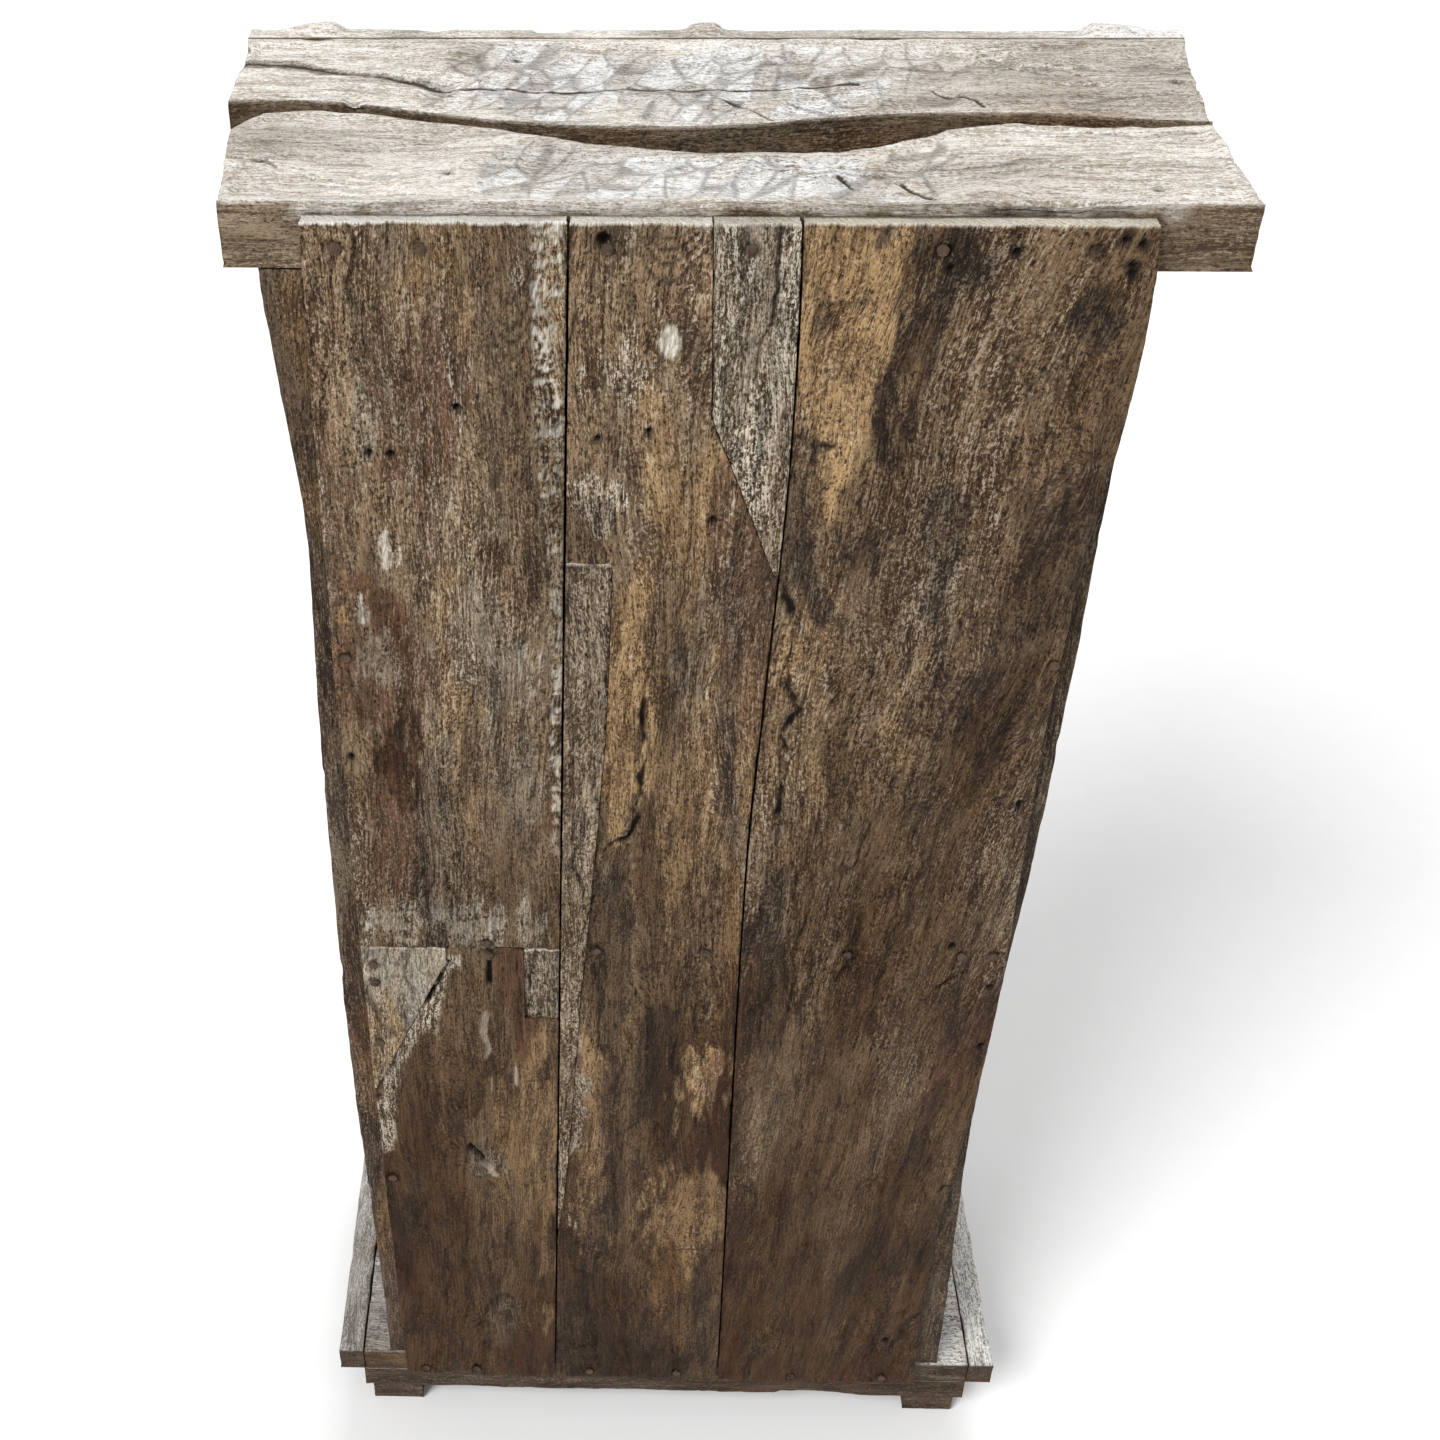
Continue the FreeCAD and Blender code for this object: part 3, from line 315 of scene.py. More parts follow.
    def done(self, body, material, slot):
        """Take the wood away, give the mesh its marks, and put the piece in the scene."""
        far = self.far_gap < ON_FACE
        self.depth[far] = FAR_DEPTH
        self.mesh.vertices.foreach_set("co", self.moved().astype(np.float32).ravel())
        self.marks["rough"] = self.rough
        for name, amount in self.marks.items():
            amount[far] = FAR_MARKS.get(name, 0.0)
            layer = self.mesh.attributes.new(name, "FLOAT", "POINT")
            layer.data.foreach_set("value", amount.astype(np.float32))
        for axis, (reach, curl) in enumerate(GRAIN_WAVES):
            self.grain[:, axis] += self.waver * reach * 0.5 * noise(self.grain, (38, 38, 15), 81 + axis)
            self.grain[:, axis] += self.waver * curl * 0.5 * noise(self.points, (170, 170, 90), 86 + axis)
        self.grain[far] = self.straight_grain[far]
        layer = self.mesh.attributes.new("grain", "FLOAT_VECTOR", "POINT")
        layer.data.foreach_set("vector", self.grain.astype(np.float32).ravel())
        self.mesh.polygons.foreach_set("use_smooth", np.ones(len(self.mesh.polygons), bool))
        self.mesh.set_sharp_from_angle(angle=SHARP_EDGE)
        self.mesh.update()
        self.mesh.materials.append(material)
        piece = bpy.data.objects.new(self.node + ".wood", self.mesh)
        bpy.context.scene.collection.objects.link(piece)
        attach(piece, body)
        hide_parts(self.node)
        return piece


# Wear, with painted shade in the hollows and painted highlights on the ridges
def weather(board, round_edge=2.0, waves=0.5, fibre=0.3, checks=0.8, torn=0.5, flecks=0.25, chips=2.5):
    """Worn edges, hollows, raised grain, long checks and torn patches, with painted shade in the thread
    valleys, the deepest lumps and at the foot of torn steps, and painted highlights on the ridges and step
    edges; sizes in millimetres.
    """
    g, p, seed, rough = board.grain, board.points, board.seed, board.rough
    edge = round_edge * (0.75 + 0.5 * layered(p, (40, 40, 40), 2, seed))
    edge = np.maximum(edge + chips * round_edge * rise(0.5, 0.95, layered(p, (28, 28, 28), 2, seed + 3)), 0.3)
    gap = np.minimum(board.rim_gap, board.far_gap + 0.4 * MM) / MM
    board.cut(0.36 * edge * np.clip(1.0 - gap / edge, 0.0, 1.0) ** 2)
    board.cut(waves * (0.6 + 0.6 * noise(p, (15, 15, 15), seed + 1)))
    curl = np.zeros_like(g)
    curl[:, 0] = 0.003 * noise(p, (45, 45, 45), seed + 9) + 0.0008 * noise(p, (150, 150, 150), seed + 10)
    thread = layered(g + curl, (300, 300, 24), 2, seed + 2)
    board.cut(fibre * rough * (0.5 - 0.5 * thread))
    lumps = layered(p + curl, (170, 170, 110), 2, seed + 13)
    board.cut(0.45 * fibre * rough * rise(-0.2, 0.9, lumps))
    # The deepest hollows of the lumps are darkened: painted shade
    board.mark("groove", 0.35 * rough * rise(0.55, 0.95, lumps))
    crease = 1.0 - np.abs(noise(g + curl, (110, 110, 6), seed + 4))
    check = rise(0.92, 0.99, crease) * rise(-0.05, 0.4, noise(g, (22, 22, 6), seed + 5)) * rough
    board.cut(checks * check)
    plates = layered(g + curl, (55, 55, 15), 4, seed + 6) - 0.35 * (1.0 - rough)
    board.cut(torn * (0.6 * rise(0.02, 0.08, plates) + 0.4 * rise(0.22, 0.28, plates)))
    lip = np.exp(-((plates - 0.01) / 0.03) ** 2) + 0.7 * np.exp(-((plates - 0.21) / 0.03) ** 2)
    foot = np.exp(-((plates - 0.10) / 0.03) ** 2) + 0.7 * np.exp(-((plates - 0.30) / 0.03) ** 2)
    # The open checks are dark; the valleys between the raised threads get painted shade
    board.mark("groove", np.maximum(0.7 * check, 0.45 * rough * rise(0.4, 0.9, -thread)))
    # A painted shadow line at the foot of each torn step
    board.mark("groove", 0.4 * foot * rough * min(1.0, torn))
    worn = flecks + 0.3 * noise(g, (20, 20, 5), seed + 8)
    # Pale flecks: worn fibres at random, and painted highlights on the edges of torn steps and on the thread
    # ridges
    board.mark("flecks", rough * (worn + 0.35 * lip * min(1.0, torn) + 0.3 * rise(0.3, 0.8, thread)))
    board.mark("bare", rise(0.02, 0.08, plates))


def tint(board, name, amount, cells=(16, 16, 4), seed=0):
    """Cloudy areas of one tint, wide along the grain; a larger amount covers more."""
    cloud = layered(board.grain, cells, 5, board.seed + 11 + seed)
    board.mark(name, rise(0.55 - 0.8 * amount, 0.75 - 0.8 * amount, cloud) * min(1.0, 0.55 + amount))


def spot(board, flat, x, y, wide, high, ragged=0.6):
    """1 inside an oval of those half sizes in millimetres, 0 outside, with an edge torn along the grain."""
    reach = np.hypot((flat[:, 0] - x) / wide, (flat[:, 1] - y) / high)
    near = reach < 2.2
    edge = np.zeros(len(flat))
    edge[near] = layered(board.grain[near], (110, 110, 26), 4, board.seed + 19)
    return np.where(near, rise(1.12, 0.8, reach + 1.5 * ragged * edge), 0.0)


def line_gap(flat, line):
    """The distance in millimetres from each place to a line of points."""
    best = np.full(len(flat), 1e9)
    for a, b in zip(line, line[1:]):
        a, b = np.array(a, float), np.array(b, float)
        step = b - a
        share = np.clip((flat - a) @ step / (step @ step), 0.0, 1.0)
        best = np.minimum(best, np.linalg.norm(flat - a - share[:, None] * step, axis=1))
    return best


def streak(board, flat, line, wide, ragged=0.6):
    """1 near a line of points and 0 away from it, with a ragged edge; sizes in millimetres."""
    reach = line_gap(flat, line) / wide
    near = reach < 2.5
    edge = np.zeros(len(flat))
    edge[near] = layered(board.grain[near], (90, 90, 20), 4, board.seed + 29)
    return np.where(near, rise(1.25, 0.6, reach + ragged * edge), 0.0)


def crack(board, flat, line, wide, depth, dark=1.0):
    """An open crack along a line of points in millimetres, wavering and broken in places."""
    waver = np.stack([layered(board.points, (90, 90, 90), 2, k) for k in (31, 37)], axis=1)
    broken = rise(-0.45, 0.35, layered(board.points, (70, 70, 70), 2, 33))
    gap = line_gap(flat + 2.2 * waver, line) / (wide * (0.35 + 0.9 * broken))
    board.cut(depth * np.clip(1.3 - gap, 0.0, 1.0))
    board.mark("groove", dark * rise(1.1, 0.5, gap) * (0.45 + 0.55 * broken))
    board.mark("flecks", 0.6 * rise(3.0, 1.6, gap) * rise(0.9, 1.4, gap))


def slit(board, flat, line, wide, depth, ragged=0.6):
    """A clean open split along a line of points; sizes in millimetres."""
    inside = streak(board, flat, line, wide, ragged)
    board.cut(depth * inside)
    board.mark("groove", rise(0.2, 0.7, inside))


def hole(board, flat, x, y, radius, depth, stained=0.6):
    """A round hole with a dark ring of stain around it; sizes in millimetres."""
    gap = np.hypot(flat[:, 0] - x, flat[:, 1] - y)
    board.cut(depth * rise(radius * 1.15, radius * 0.55, gap))
    board.mark("groove", rise(radius * 1.2, radius * 0.7, gap))
    board.mark("stain", stained * rise(radius * 3.0, radius * 1.0, gap))


def gouge(board, flat, x, y, wide, high, depth, bare=0.8):
    """A torn hollow with pale fibres in it; sizes in millimetres."""
    inside = spot(board, flat, x, y, wide, high, 0.8)
    board.cut(depth * inside)
    board.mark("flecks", (0.3 + 0.7 * bare) * inside)
    board.mark("sawn", bare * inside * rise(-0.2, 0.3, layered(board.grain, (350, 350, 40), 2, 23)))


def knot(board, flat, x, y, wide, high, lift=0.8):
    """A knot: a lumpy hollow, dark cracks round part of it, and grain that flows by. Sizes in millimetres."""
    u, v = flat[:, 0] - x, flat[:, 1] - y
    reach = np.hypot(u / wide, v / high) + 0.3 * layered(board.points, (70, 70, 50), 4, board.seed + 53)
    aside = 0.9 * wide * MM * np.clip(u / wide, -1.0, 1.0)
    board.bend_grain(aside * np.exp(-(reach / 1.6) ** 2))
    inside = rise(1.15, 0.6, reach)
    lumps = layered(board.points, (150, 150, 110), 3, board.seed + 51)
    broken = rise(0.0, 0.7, noise(board.points, (90, 90, 90), board.seed + 52))
    rim = broken * rise(0.2, 0.05, np.abs(reach - 0.9))
    board.cut(lift * (inside * (0.6 + 0.9 * lumps) + 0.9 * rim))
    board.rough = np.maximum(board.rough, 0.9 * inside)
    board.mark("stain", 0.55 * inside * rise(0.0, 0.5, lumps))
    board.mark("groove", 0.6 * rim)
    board.mark("flecks", 0.7 * inside * rise(0.1, -0.4, lumps))
    board.mark("grey", 0.4 * inside)


def arches(board, flat, x, bend, bottoms, wide, line_wide=1.6):
    """Nested arches of grain, one for each bottom; bend is 1/mm."""
    u = flat[:, 0] - x
    rise_of = flat[:, 1] - bend * u * u
    inside = rise(1.15, 0.8, np.abs(u) / wide)
    for bottom in bottoms:
        band = np.exp(-((rise_of - bottom + 2.0 * noise(board.points, (60, 60, 60), 61)) / line_wide) ** 2)
        board.mark("groove", 0.75 * inside * band)
        board.cut(0.8 * inside * band)


# Materials
def screen(red, green, blue):
    """A colour as it shows on a screen, 0 to 255, as the linear values that a shader takes."""
    parts = [v / 255 for v in (red, green, blue)]
    return tuple(v / 12.92 if v <= 0.04045 else ((v + 0.055) / 1.055) ** 2.4 for v in parts) + (1.0,)


class Shader:
    """A new material, with short ways to add nodes to it."""

    def __init__(self, name):
        self.material = bpy.data.materials.new(name)
        self.material.use_nodes = True
        self.tree = self.material.node_tree
        self.surface = self.tree.nodes["Principled BSDF"]

    def feed(self, socket, value):
        if isinstance(value, bpy.types.NodeSocket):
            self.tree.links.new(value, socket)
        else:
            socket.default_value = value

    def node(self, kind, inputs, **settings):
        made = self.tree.nodes.new(kind)
        for name, value in settings.items():
            setattr(made, name, value)
        for name, value in inputs.items():
            self.feed(made.inputs[name], value)
        return made

    def carried(self, name, output="Fac"):
        return self.node("ShaderNodeAttribute", {}, attribute_name=name).outputs[output]

    def stretch(self, vector, cells):
        return self.node("ShaderNodeVectorMath", {0: vector, 1: cells}, operation="MULTIPLY").outputs[0]

    def noise(self, vector, cells, detail=3.0, rough=0.55, twist=0.0):
        inputs = {"Vector": self.stretch(vector, cells), "Scale": 1.0, "Detail": detail,
                  "Roughness": rough, "Distortion": twist}
        return self.node("ShaderNodeTexNoise", inputs).outputs["Fac"]

    def waver(self, vector, cells, reach):
        """A place moved by smooth noise, up to about half the reach each way."""
        inputs = {"Vector": self.stretch(vector, cells), "Scale": 1.0, "Detail": 2.0}
        push = self.node("ShaderNodeTexNoise", inputs).outputs["Color"]
        inputs = {0: push, 1: (0.5, 0.5, 0.5)}
        moved = self.node("ShaderNodeVectorMath", inputs, operation="SUBTRACT").outputs[0]
        inputs = {0: moved, 1: (reach, reach, reach), 2: vector}
        return self.node("ShaderNodeVectorMath", inputs, operation="MULTIPLY_ADD").outputs[0]

    def span(self, value, low, high, to_low=0.0, to_high=1.0):
        inputs = {"Value": value, "From Min": low, "From Max": high, "To Min": to_low, "To Max": to_high}
        return self.node("ShaderNodeMapRange", inputs, interpolation_type="SMOOTHSTEP").outputs["Result"]

    def sum(self, a, b):
        return self.node("ShaderNodeMath", {0: a, 1: b}, operation="ADD").outputs[0]

    def times(self, a, b):
        return self.node("ShaderNodeMath", {0: a, 1: b}, operation="MULTIPLY").outputs[0]

    def scaled(self, a, factor, plus):
        return self.node("ShaderNodeMath", {0: a, 1: factor, 2: plus}, operation="MULTIPLY_ADD").outputs[0]

    def mix(self, share, a, b, blend="MIX"):
        made = self.node("ShaderNodeMix", {0: share, 6: a, 7: b}, data_type="RGBA", blend_type=blend)
        return made.outputs[2]

    def place(self):
        return self.node("ShaderNodeTexCoord", {}).outputs["Object"]

    def bump(self, height, distance, strength=1.0):
        inputs = {"Height": height, "Distance": distance, "Strength": strength}
        self.feed(self.surface.inputs["Normal"], self.node("ShaderNodeBump", inputs).outputs[0])


def wood(name, tones, satin=0.5, carried=True):
    """Old timber. Its tones are mixed by noise along the grain and by the marks that a board carries, some of
    which are painted light and shade.
    """
    s = Shader(name)
    grain = s.carried("grain", "Vector") if carried else s.place()
    broad = s.noise(grain, (70, 70, 14), 5, 0.68)
    fine = s.noise(grain, (430, 430, 22), 4, 0.7)
    hair = s.noise(grain, (1100, 1100, 65), 3, 0.75)
    rough = s.carried("rough")
    crumb = s.noise(grain, (780, 780, 400), 3, 0.72, 0.7)
    grit = s.scaled(hair, 0.3, s.scaled(crumb, 0.48, s.times(fine, 0.22)))
    grit = s.scaled(s.sum(grit, -0.5), s.scaled(rough, 0.75, 1.65), 0.5)
    light = s.span(s.scaled(broad, 0.45, s.times(grit, 0.55)), 0.42, 0.58)
    colour = s.mix(light, tones["deep"], tones["base"])
    inputs = {"Vector": s.stretch(grain, (1.0, 1.0, 0.07)), "Scale": 125.0, "Distortion": 8.0,
              "Detail": 2.0, "Detail Scale": 0.5}
    rings = s.node("ShaderNodeTexWave", inputs).outputs["Fac"]
    smooth = s.scaled(rough, -0.9, 0.95)
    colour = s.mix(s.times(s.span(rings, 0.4, 0.08), smooth), colour, tones["deep"])
    colour = s.mix(s.times(s.carried("bare"), 0.12), colour, tones["grey"])
    lit = s.scaled(light, 0.45, 0.55)
    for mark, shade in (("ochre", "ochre_deep"), ("russet", "deep"), ("grey", "grey_deep")):
        tinted = s.mix(light, tones[shade], tones[mark])
        colour = s.mix(s.times(s.carried(mark), lit), colour, tinted)
    # Pale flecks where the marks ask, on the peaks of the bump relief: partly pale fibres, partly painted
    # highlights
    flecks = s.carried("flecks")
    fleck = s.span(s.scaled(flecks, 0.1, grit), 0.625, 0.665)
    colour = s.mix(s.times(fleck, s.scaled(flecks, 0.8, 0.1)), colour, tones["pale"])
    saw_place = s.waver(s.stretch(s.place(), (1.0, 0.6, 0.35)), (60, 60, 60), 0.004)
    inputs = {"Vector": saw_place, "Scale": 170.0, "Distortion": 4.0, "Detail": 3.0}
    saw = s.node("ShaderNodeTexWave", inputs, bands_direction="DIAGONAL").outputs["Fac"]
    sawn = s.mix(s.times(s.span(saw, 0.6, 0.1), s.span(broad, 0.42, 0.55)), tones["sawn"], tones["sawn_deep"])
    sawn = s.mix(s.span(hair, 0.48, 0.40), sawn, tones["sawn_deep"])
    colour = s.mix(s.carried("sawn"), colour, sawn)
    bleached = s.mix(light, tones["bleach_deep"], tones["bleach"])
    # On bleached wood the peaks of the bump relief are lighter still: painted highlight
    bleached = s.mix(s.span(s.scaled(flecks, 0.1, grit), 0.52, 0.62), bleached, tones["bleach_light"])
    colour = s.mix(s.carried("bleach"), colour, bleached)
    # The white mark on the peaks of the relief: a painted sheen on the adzed top, pale paint and end grain
    # elsewhere
    colour = s.mix(s.times(s.carried("white"), s.span(grit, 0.36, 0.58)), colour, tones["white"])
    colour = s.mix(s.times(s.carried("stain"), s.scaled(light, -0.35, 0.95)), colour, tones["stain"])
    # Dark crevices in the hollows of the fine relief: partly painted shade
    crevice = s.span(grit, 0.40, 0.33)
    covered = s.scaled(s.carried("sawn"), -0.6, s.scaled(s.carried("bleach"), -0.4, 0.8))
    colour = s.mix(s.times(crevice, covered), colour, tones["groove"])
    # The groove mark: dark in cracks, holes and grain lines, and painted shade in hollows and along steps and
    # ridges
    colour = s.mix(s.carried("groove"), colour, tones["groove"])
    # The dusk mark multiplies in a dark brown tone: darker wood and dirt in places, painted shade in others
    colour = s.mix(s.carried("dusk"), colour, s.mix(1.0, colour, tones["grime_and_shade"], "MULTIPLY"))
    s.feed(s.surface.inputs["Base Color"], colour)
    s.feed(s.surface.inputs["Roughness"], s.scaled(grit, 0.3, s.scaled(rough, 0.12, satin - 0.2)))
    s.surface.inputs["Specular IOR Level"].default_value = 0.12
    relief = s.scaled(fine, 0.5, s.scaled(broad, 0.3, s.scaled(hair, 0.2, s.times(crumb, 0.22))))
    relief = s.times(relief, s.scaled(rough, 0.7, 0.3))
    s.bump(relief, 0.005, 1.0)
    return s.material


# Tones. The dark tone that the dusk mark multiplies in stands for dirt and for painted shade; pale, the
# flecks' tone, is partly painted highlight; groove is dark in cracks and partly painted shade
BACK_TONES = {
    "base": screen(156, 131, 101), "deep": screen(82, 62, 44), "ochre": screen(190, 156, 110),
    "ochre_deep": screen(124, 94, 62), "russet": screen(122, 82, 60),
    "grey": screen(164, 150, 130), "grey_deep": screen(98, 85, 71),
    "pale": screen(226, 217, 199), "sawn": screen(250, 245, 231), "sawn_deep": screen(212, 199, 177),
    "stain": screen(42, 34, 31), "groove": screen(28, 21, 16), "bleach": screen(186, 176, 160),
    "bleach_deep": screen(128, 115, 100), "bleach_light": screen(232, 228, 219),
    "white": screen(250, 249, 244), "grime_and_shade": (0.28, 0.205, 0.14, 1.0),
}
TOP_TONES = dict(
    BACK_TONES, base=screen(158, 140, 116), deep=screen(92, 75, 57), bleach=screen(246, 239, 229),
    bleach_deep=screen(194, 180, 162), bleach_light=screen(252, 250, 246),
    # The bluish white on the top is a painted sheen
    groove=screen(62, 50, 40), white=screen(252, 254, 255),
)
SIDE_TONES = dict(BACK_TONES, base=screen(130, 111, 90), deep=screen(66, 51, 39))
BASE_TONES = dict(
    BACK_TONES, base=screen(112, 92, 72), deep=screen(58, 44, 33), bleach=screen(188, 183, 177),
    bleach_deep=screen(146, 140, 133), bleach_light=screen(214, 212, 208), groove=screen(70, 61, 53),
)
FOOT_TONES = dict(BACK_TONES, base=screen(104, 80, 61), deep=screen(58, 42, 31), russet=screen(112, 68, 46))
INNER_TONES = dict(BACK_TONES, base=screen(150, 122, 90), deep=screen(96, 72, 50), pale=screen(190, 172, 146))
FRONT_TONES = dict(BACK_TONES, base=screen(142, 116, 86), deep=screen(72, 52, 36), ochre=screen(176, 138, 90))

back_wood = wood("weathered back plank", BACK_TONES)
top_wood = wood("bleached adzed slab", TOP_TONES)
side_wood = wood("weathered side plank", SIDE_TONES)
base_wood = wood("worn base plank", BASE_TONES)
foot_wood = wood("red-brown block", FOOT_TONES)
inner_wood = wood("clean inner plank", INNER_TONES)
front_wood = wood("waxed front plank", FRONT_TONES, 0.42)
peg_wood = wood("oak peg", FOOT_TONES, carried=False)


def forged_iron(name, dark, light, rust_dark, rust_light, rusted):
    """Hand-forged iron with scale and rust; rusted is the share of the rust."""
    s = Shader(name)
    place = s.place()
    scale = s.noise(place, (420, 420, 420), 5, 0.65)
    rust = s.span(s.noise(place, (90, 90, 90), 5, 0.7), 0.66 - 0.3 * rusted, 0.80 - 0.3 * rusted)
    colour = s.mix(s.span(scale, 0.35, 0.7), dark, light)
    colour = s.mix(s.times(rust, 0.75), colour, s.mix(scale, rust_dark, rust_light))
    s.feed(s.surface.inputs["Base Color"], colour)
    s.feed(s.surface.inputs["Metallic"], s.scaled(rust, -0.6, 0.85))
    s.feed(s.surface.inputs["Roughness"], s.scaled(rust, 0.25, 0.5))
    s.bump(s.scaled(rust, 0.5, scale), 0.0006, 0.8)
    return s.material


iron = forged_iron("old forged iron", screen(34, 31, 29), screen(74, 70, 66),
                   screen(64, 36, 22), screen(128, 78, 46), 0.5)
dull_iron = forged_iron("browned nail", screen(40, 32, 26), screen(84, 70, 57),
                        screen(58, 42, 30), screen(104, 80, 60), 0.9)

# Back boards. Marks seen on them, with places as X and Z and sizes in millimetres.
# Mesh steps go along the grain, across it and down the walls.
BACK_STEPS = (2.0, 1.15, 2.0)
EDGE_STEPS = (2.4, 1.3, 1.5)


def end_cut(board, share=1.0, white=0.0):
    """The freshly sawn upper end of a board."""
    top = rise(2.0, 0.6, (board.points[:, 2].max() - board.points[:, 2]) / MM)
    board.mark("sawn", share * top)
    board.mark("white", white * top)
    for name in ("dusk", "stain", "groove"):
        board.marks[name] *= 1.0 - top


def nail_places(node):
    """The centre of each nail head of a node, from the vertices of its separate solids."""
    bm = bmesh.new()
    bm.from_mesh(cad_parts[node].data)
    bmesh.ops.remove_doubles(bm, verts=bm.verts, dist=MERGE)
    found = []
    for faces in islands(bm):
        places = np.array([v.co for f in faces for v in f.verts])
        found.append((places.max(axis=0) + places.min(axis=0)) / 2)
    bm.free()
    return np.array(found)


back_nails = nail_places("back_nails")

# Sunk nails: depth of the funnel, and the radius of its rim and of its floor, in millimetres
PIT_DEPTH, PIT_RIM, PIT_FLOOR = 1.5, 6.0, 3.2


def nail_pits(board):
    """Funnels round the sunk nail heads of a back board."""
    flat = board.flat(X, Z)
    front = board.below < 0.5 * MM
    for x, y, z in back_nails:
        gap = np.hypot(flat[:, 0] - x / MM, flat[:, 1] - z / MM)
        board.cut(np.where(front, PIT_DEPTH * rise(PIT_RIM, PIT_FLOOR, gap), 0.0))
        board.mark("stain", 0.4 * rise(6.5, 3.0, gap))


# How dark the boards are from the bottom to the top: heights, and strengths there. The darkening low down is
# partly darker wood and partly painted shade.
DUSK = ([0.10, 0.23, 0.45, 0.60, 0.77, 0.95, 1.08], [1.0, 0.92, 0.78, 0.56, 0.40, 0.18, 0.02])
WIDE_DUSK = ([0.10, 0.27, 0.45, 0.60, 0.75, 1.00, 1.10], [1.0, 0.97, 0.76, 0.69, 0.62, 0.47, 0.35])


def back_board(node, seed, dusk=DUSK, flecks=0.3, roughness=1.0):
    """A back board with the wear, tints and darkness that all of them have."""
    board = Board(node, REAR, Z, BACK_STEPS, seed)
    height = board.points[:, 2]
    cloud = 0.05 * noise(board.points, (12, 12, 8), seed)
    board.rough = roughness * (0.58 + 0.42 * rise(0.3, 0.66, height + cloud))
    board.bend_grain(0.006 * noise(board.points, (12, 12, 5), seed + 2))
    if node == "back_board_left":
        board.bend_grain((0.04 + 0.1 * rise(-0.03, -0.21, board.points[:, 0])) * (height - 0.6))
    weather(board, 0.8, 1.2, 1.4, 1.6, 1.8, flecks, 1.6)
    board.keep_joints()
    if node != "back_board_left":
        tint(board, "ochre", 0.1, seed=1)
    tint(board, "russet", 0.25, seed=2)
    tint(board, "stain", 0.05, seed=4)
    cloud = layered(board.grain, (24, 24, 6), 4, seed + 15)
    # Darker towards the bottom: partly darker wood, partly painted shade
    board.mark("dusk", np.interp(height, *dusk) + 0.32 * cloud)
    return board


# The mark, its place, its half sizes and, where it is fainter, its strength
R_SPOTS = [
    ("stain", 219, 1081, 5, 30), ("stain", 182, 1101, 5, 12), ("stain", 139, 1094, 7, 13),
    ("dusk", 196, 766, 17, 40), ("russet", 162, 1005, 12, 53), ("russet", 190, 868, 14, 19),
    ("ochre", 220, 868, 6, 11), ("grey", 195, 1004, 12, 23), ("grey", 201, 832, 14, 24),
    ("grey", 134, 834, 20, 45), ("grey", 164, 614, 61, 22), ("grey", 113, 735, 14, 33),
    ("flecks", 99, 1089, 13, 19), ("flecks", 164, 614, 61, 22),
]
RL_SPOTS = [
    ("ochre", 107, 374, 15, 125, 0.45), ("dusk", 167, 447, 17, 38), ("grey", 149, 361, 13, 23),
    ("grey", 140, 157, 16, 28), ("ochre", 112, 480, 12, 40, 0.4),
]
M_SPOTS = [
    ("flecks", 57, 1034, 17, 20), ("flecks", 66, 951, 18, 15), ("ochre", 3, 974, 15, 45),
    ("stain", -23, 879, 9, 30, 0.7), ("ochre", 49, 783, 13, 107), ("grey", 56, 660, 10, 20),
    ("grey", 77, 139, 8, 12), ("stain", 69, 935, 12, 16), ("ochre", -14, 453, 17, 37),
    ("stain", 11, 436, 16, 60), ("ochre", -13, 305, 27, 54, 0.65), ("ochre", 69, 422, 15, 119, 0.6),
    ("flecks", 82, 466, 9, 139), ("grey", 82, 466, 9, 139), ("ochre", 4, 745, 22, 95, 0.55),
]
L_SPOTS = [
    ("ochre", -66, 1090, 38, 30), ("ochre", -66, 1020, 30, 50), ("ochre", -76, 965, 16, 34),
    ("stain", -113, 1095, 18, 20), ("stain", -188, 1064, 16, 17), ("ochre", -58, 800, 22, 100, 0.6),
    ("flecks", -95, 567, 27, 89), ("flecks", -150, 489, 20, 31), ("flecks", -198, 732, 20, 29),
    ("ochre", -130, 796, 18, 40, 0.45), ("grey", -200, 942, 21, 26), ("grey", -85, 128, 17, 20),
    ("flecks", -85, 128, 17, 20),
]


def put_spots(board, flat, spots, ragged=0.6, scuffs=0.85, stains=0.6):
    """Lay a list of spots on a board."""
    strengths = {"stain": stains, "flecks": scuffs, "grey": scuffs, "ochre": 0.9, "russet": 0.9, "dusk": 0.9}
    for name, x, z, wide, high, *share in spots:
        inside = spot(board, flat, x, z, wide, high, ragged) * (share[0] if share else 1.0)
        if name == "flecks":
            board.rough = np.maximum(board.rough, 0.9 * inside)
        board.mark(name, strengths[name] * inside)
        if name == "ochre":
            board.marks["dusk"] *= 1.0 - 0.7 * inside


# Right board, upper length: a broken cream strip beside the seam, and arches of grain
upper_right = back_board("back_board_right_upper", 3)
flat = upper_right.flat(X, Z)
bits_across = layered(upper_right.points, (90, 90, 330), 3, 74)
put_spots(upper_right, flat, R_SPOTS)
for x, z, wide, high, bare in ((187, 920, 6, 12, 0.8), (208, 871, 4, 9, 0.6), (106, 829, 6, 16, 0.3)):
    gouge(upper_right, flat, x, z, wide, high, 1.1, bare)
upper_right.mark("sawn", 0.4 * spot(upper_right, flat, 164, 612, 61, 17) * rise(-0.1, 0.3, bits_across))
for x, z in ((196, 981), (184, 981), (146, 1010), (222, 759)):
    hole(upper_right, flat, x, z, 2.4, 4.0)
arches(upper_right, flat, 115, 0.14, (1072, 1058, 1049, 1040), 17)
SEAM_X = 88
half_wide = 3.5 + 4.5 * rise(880, 1020, flat[:, 1])
off_middle = np.abs(flat[:, 0] - SEAM_X - half_wide)
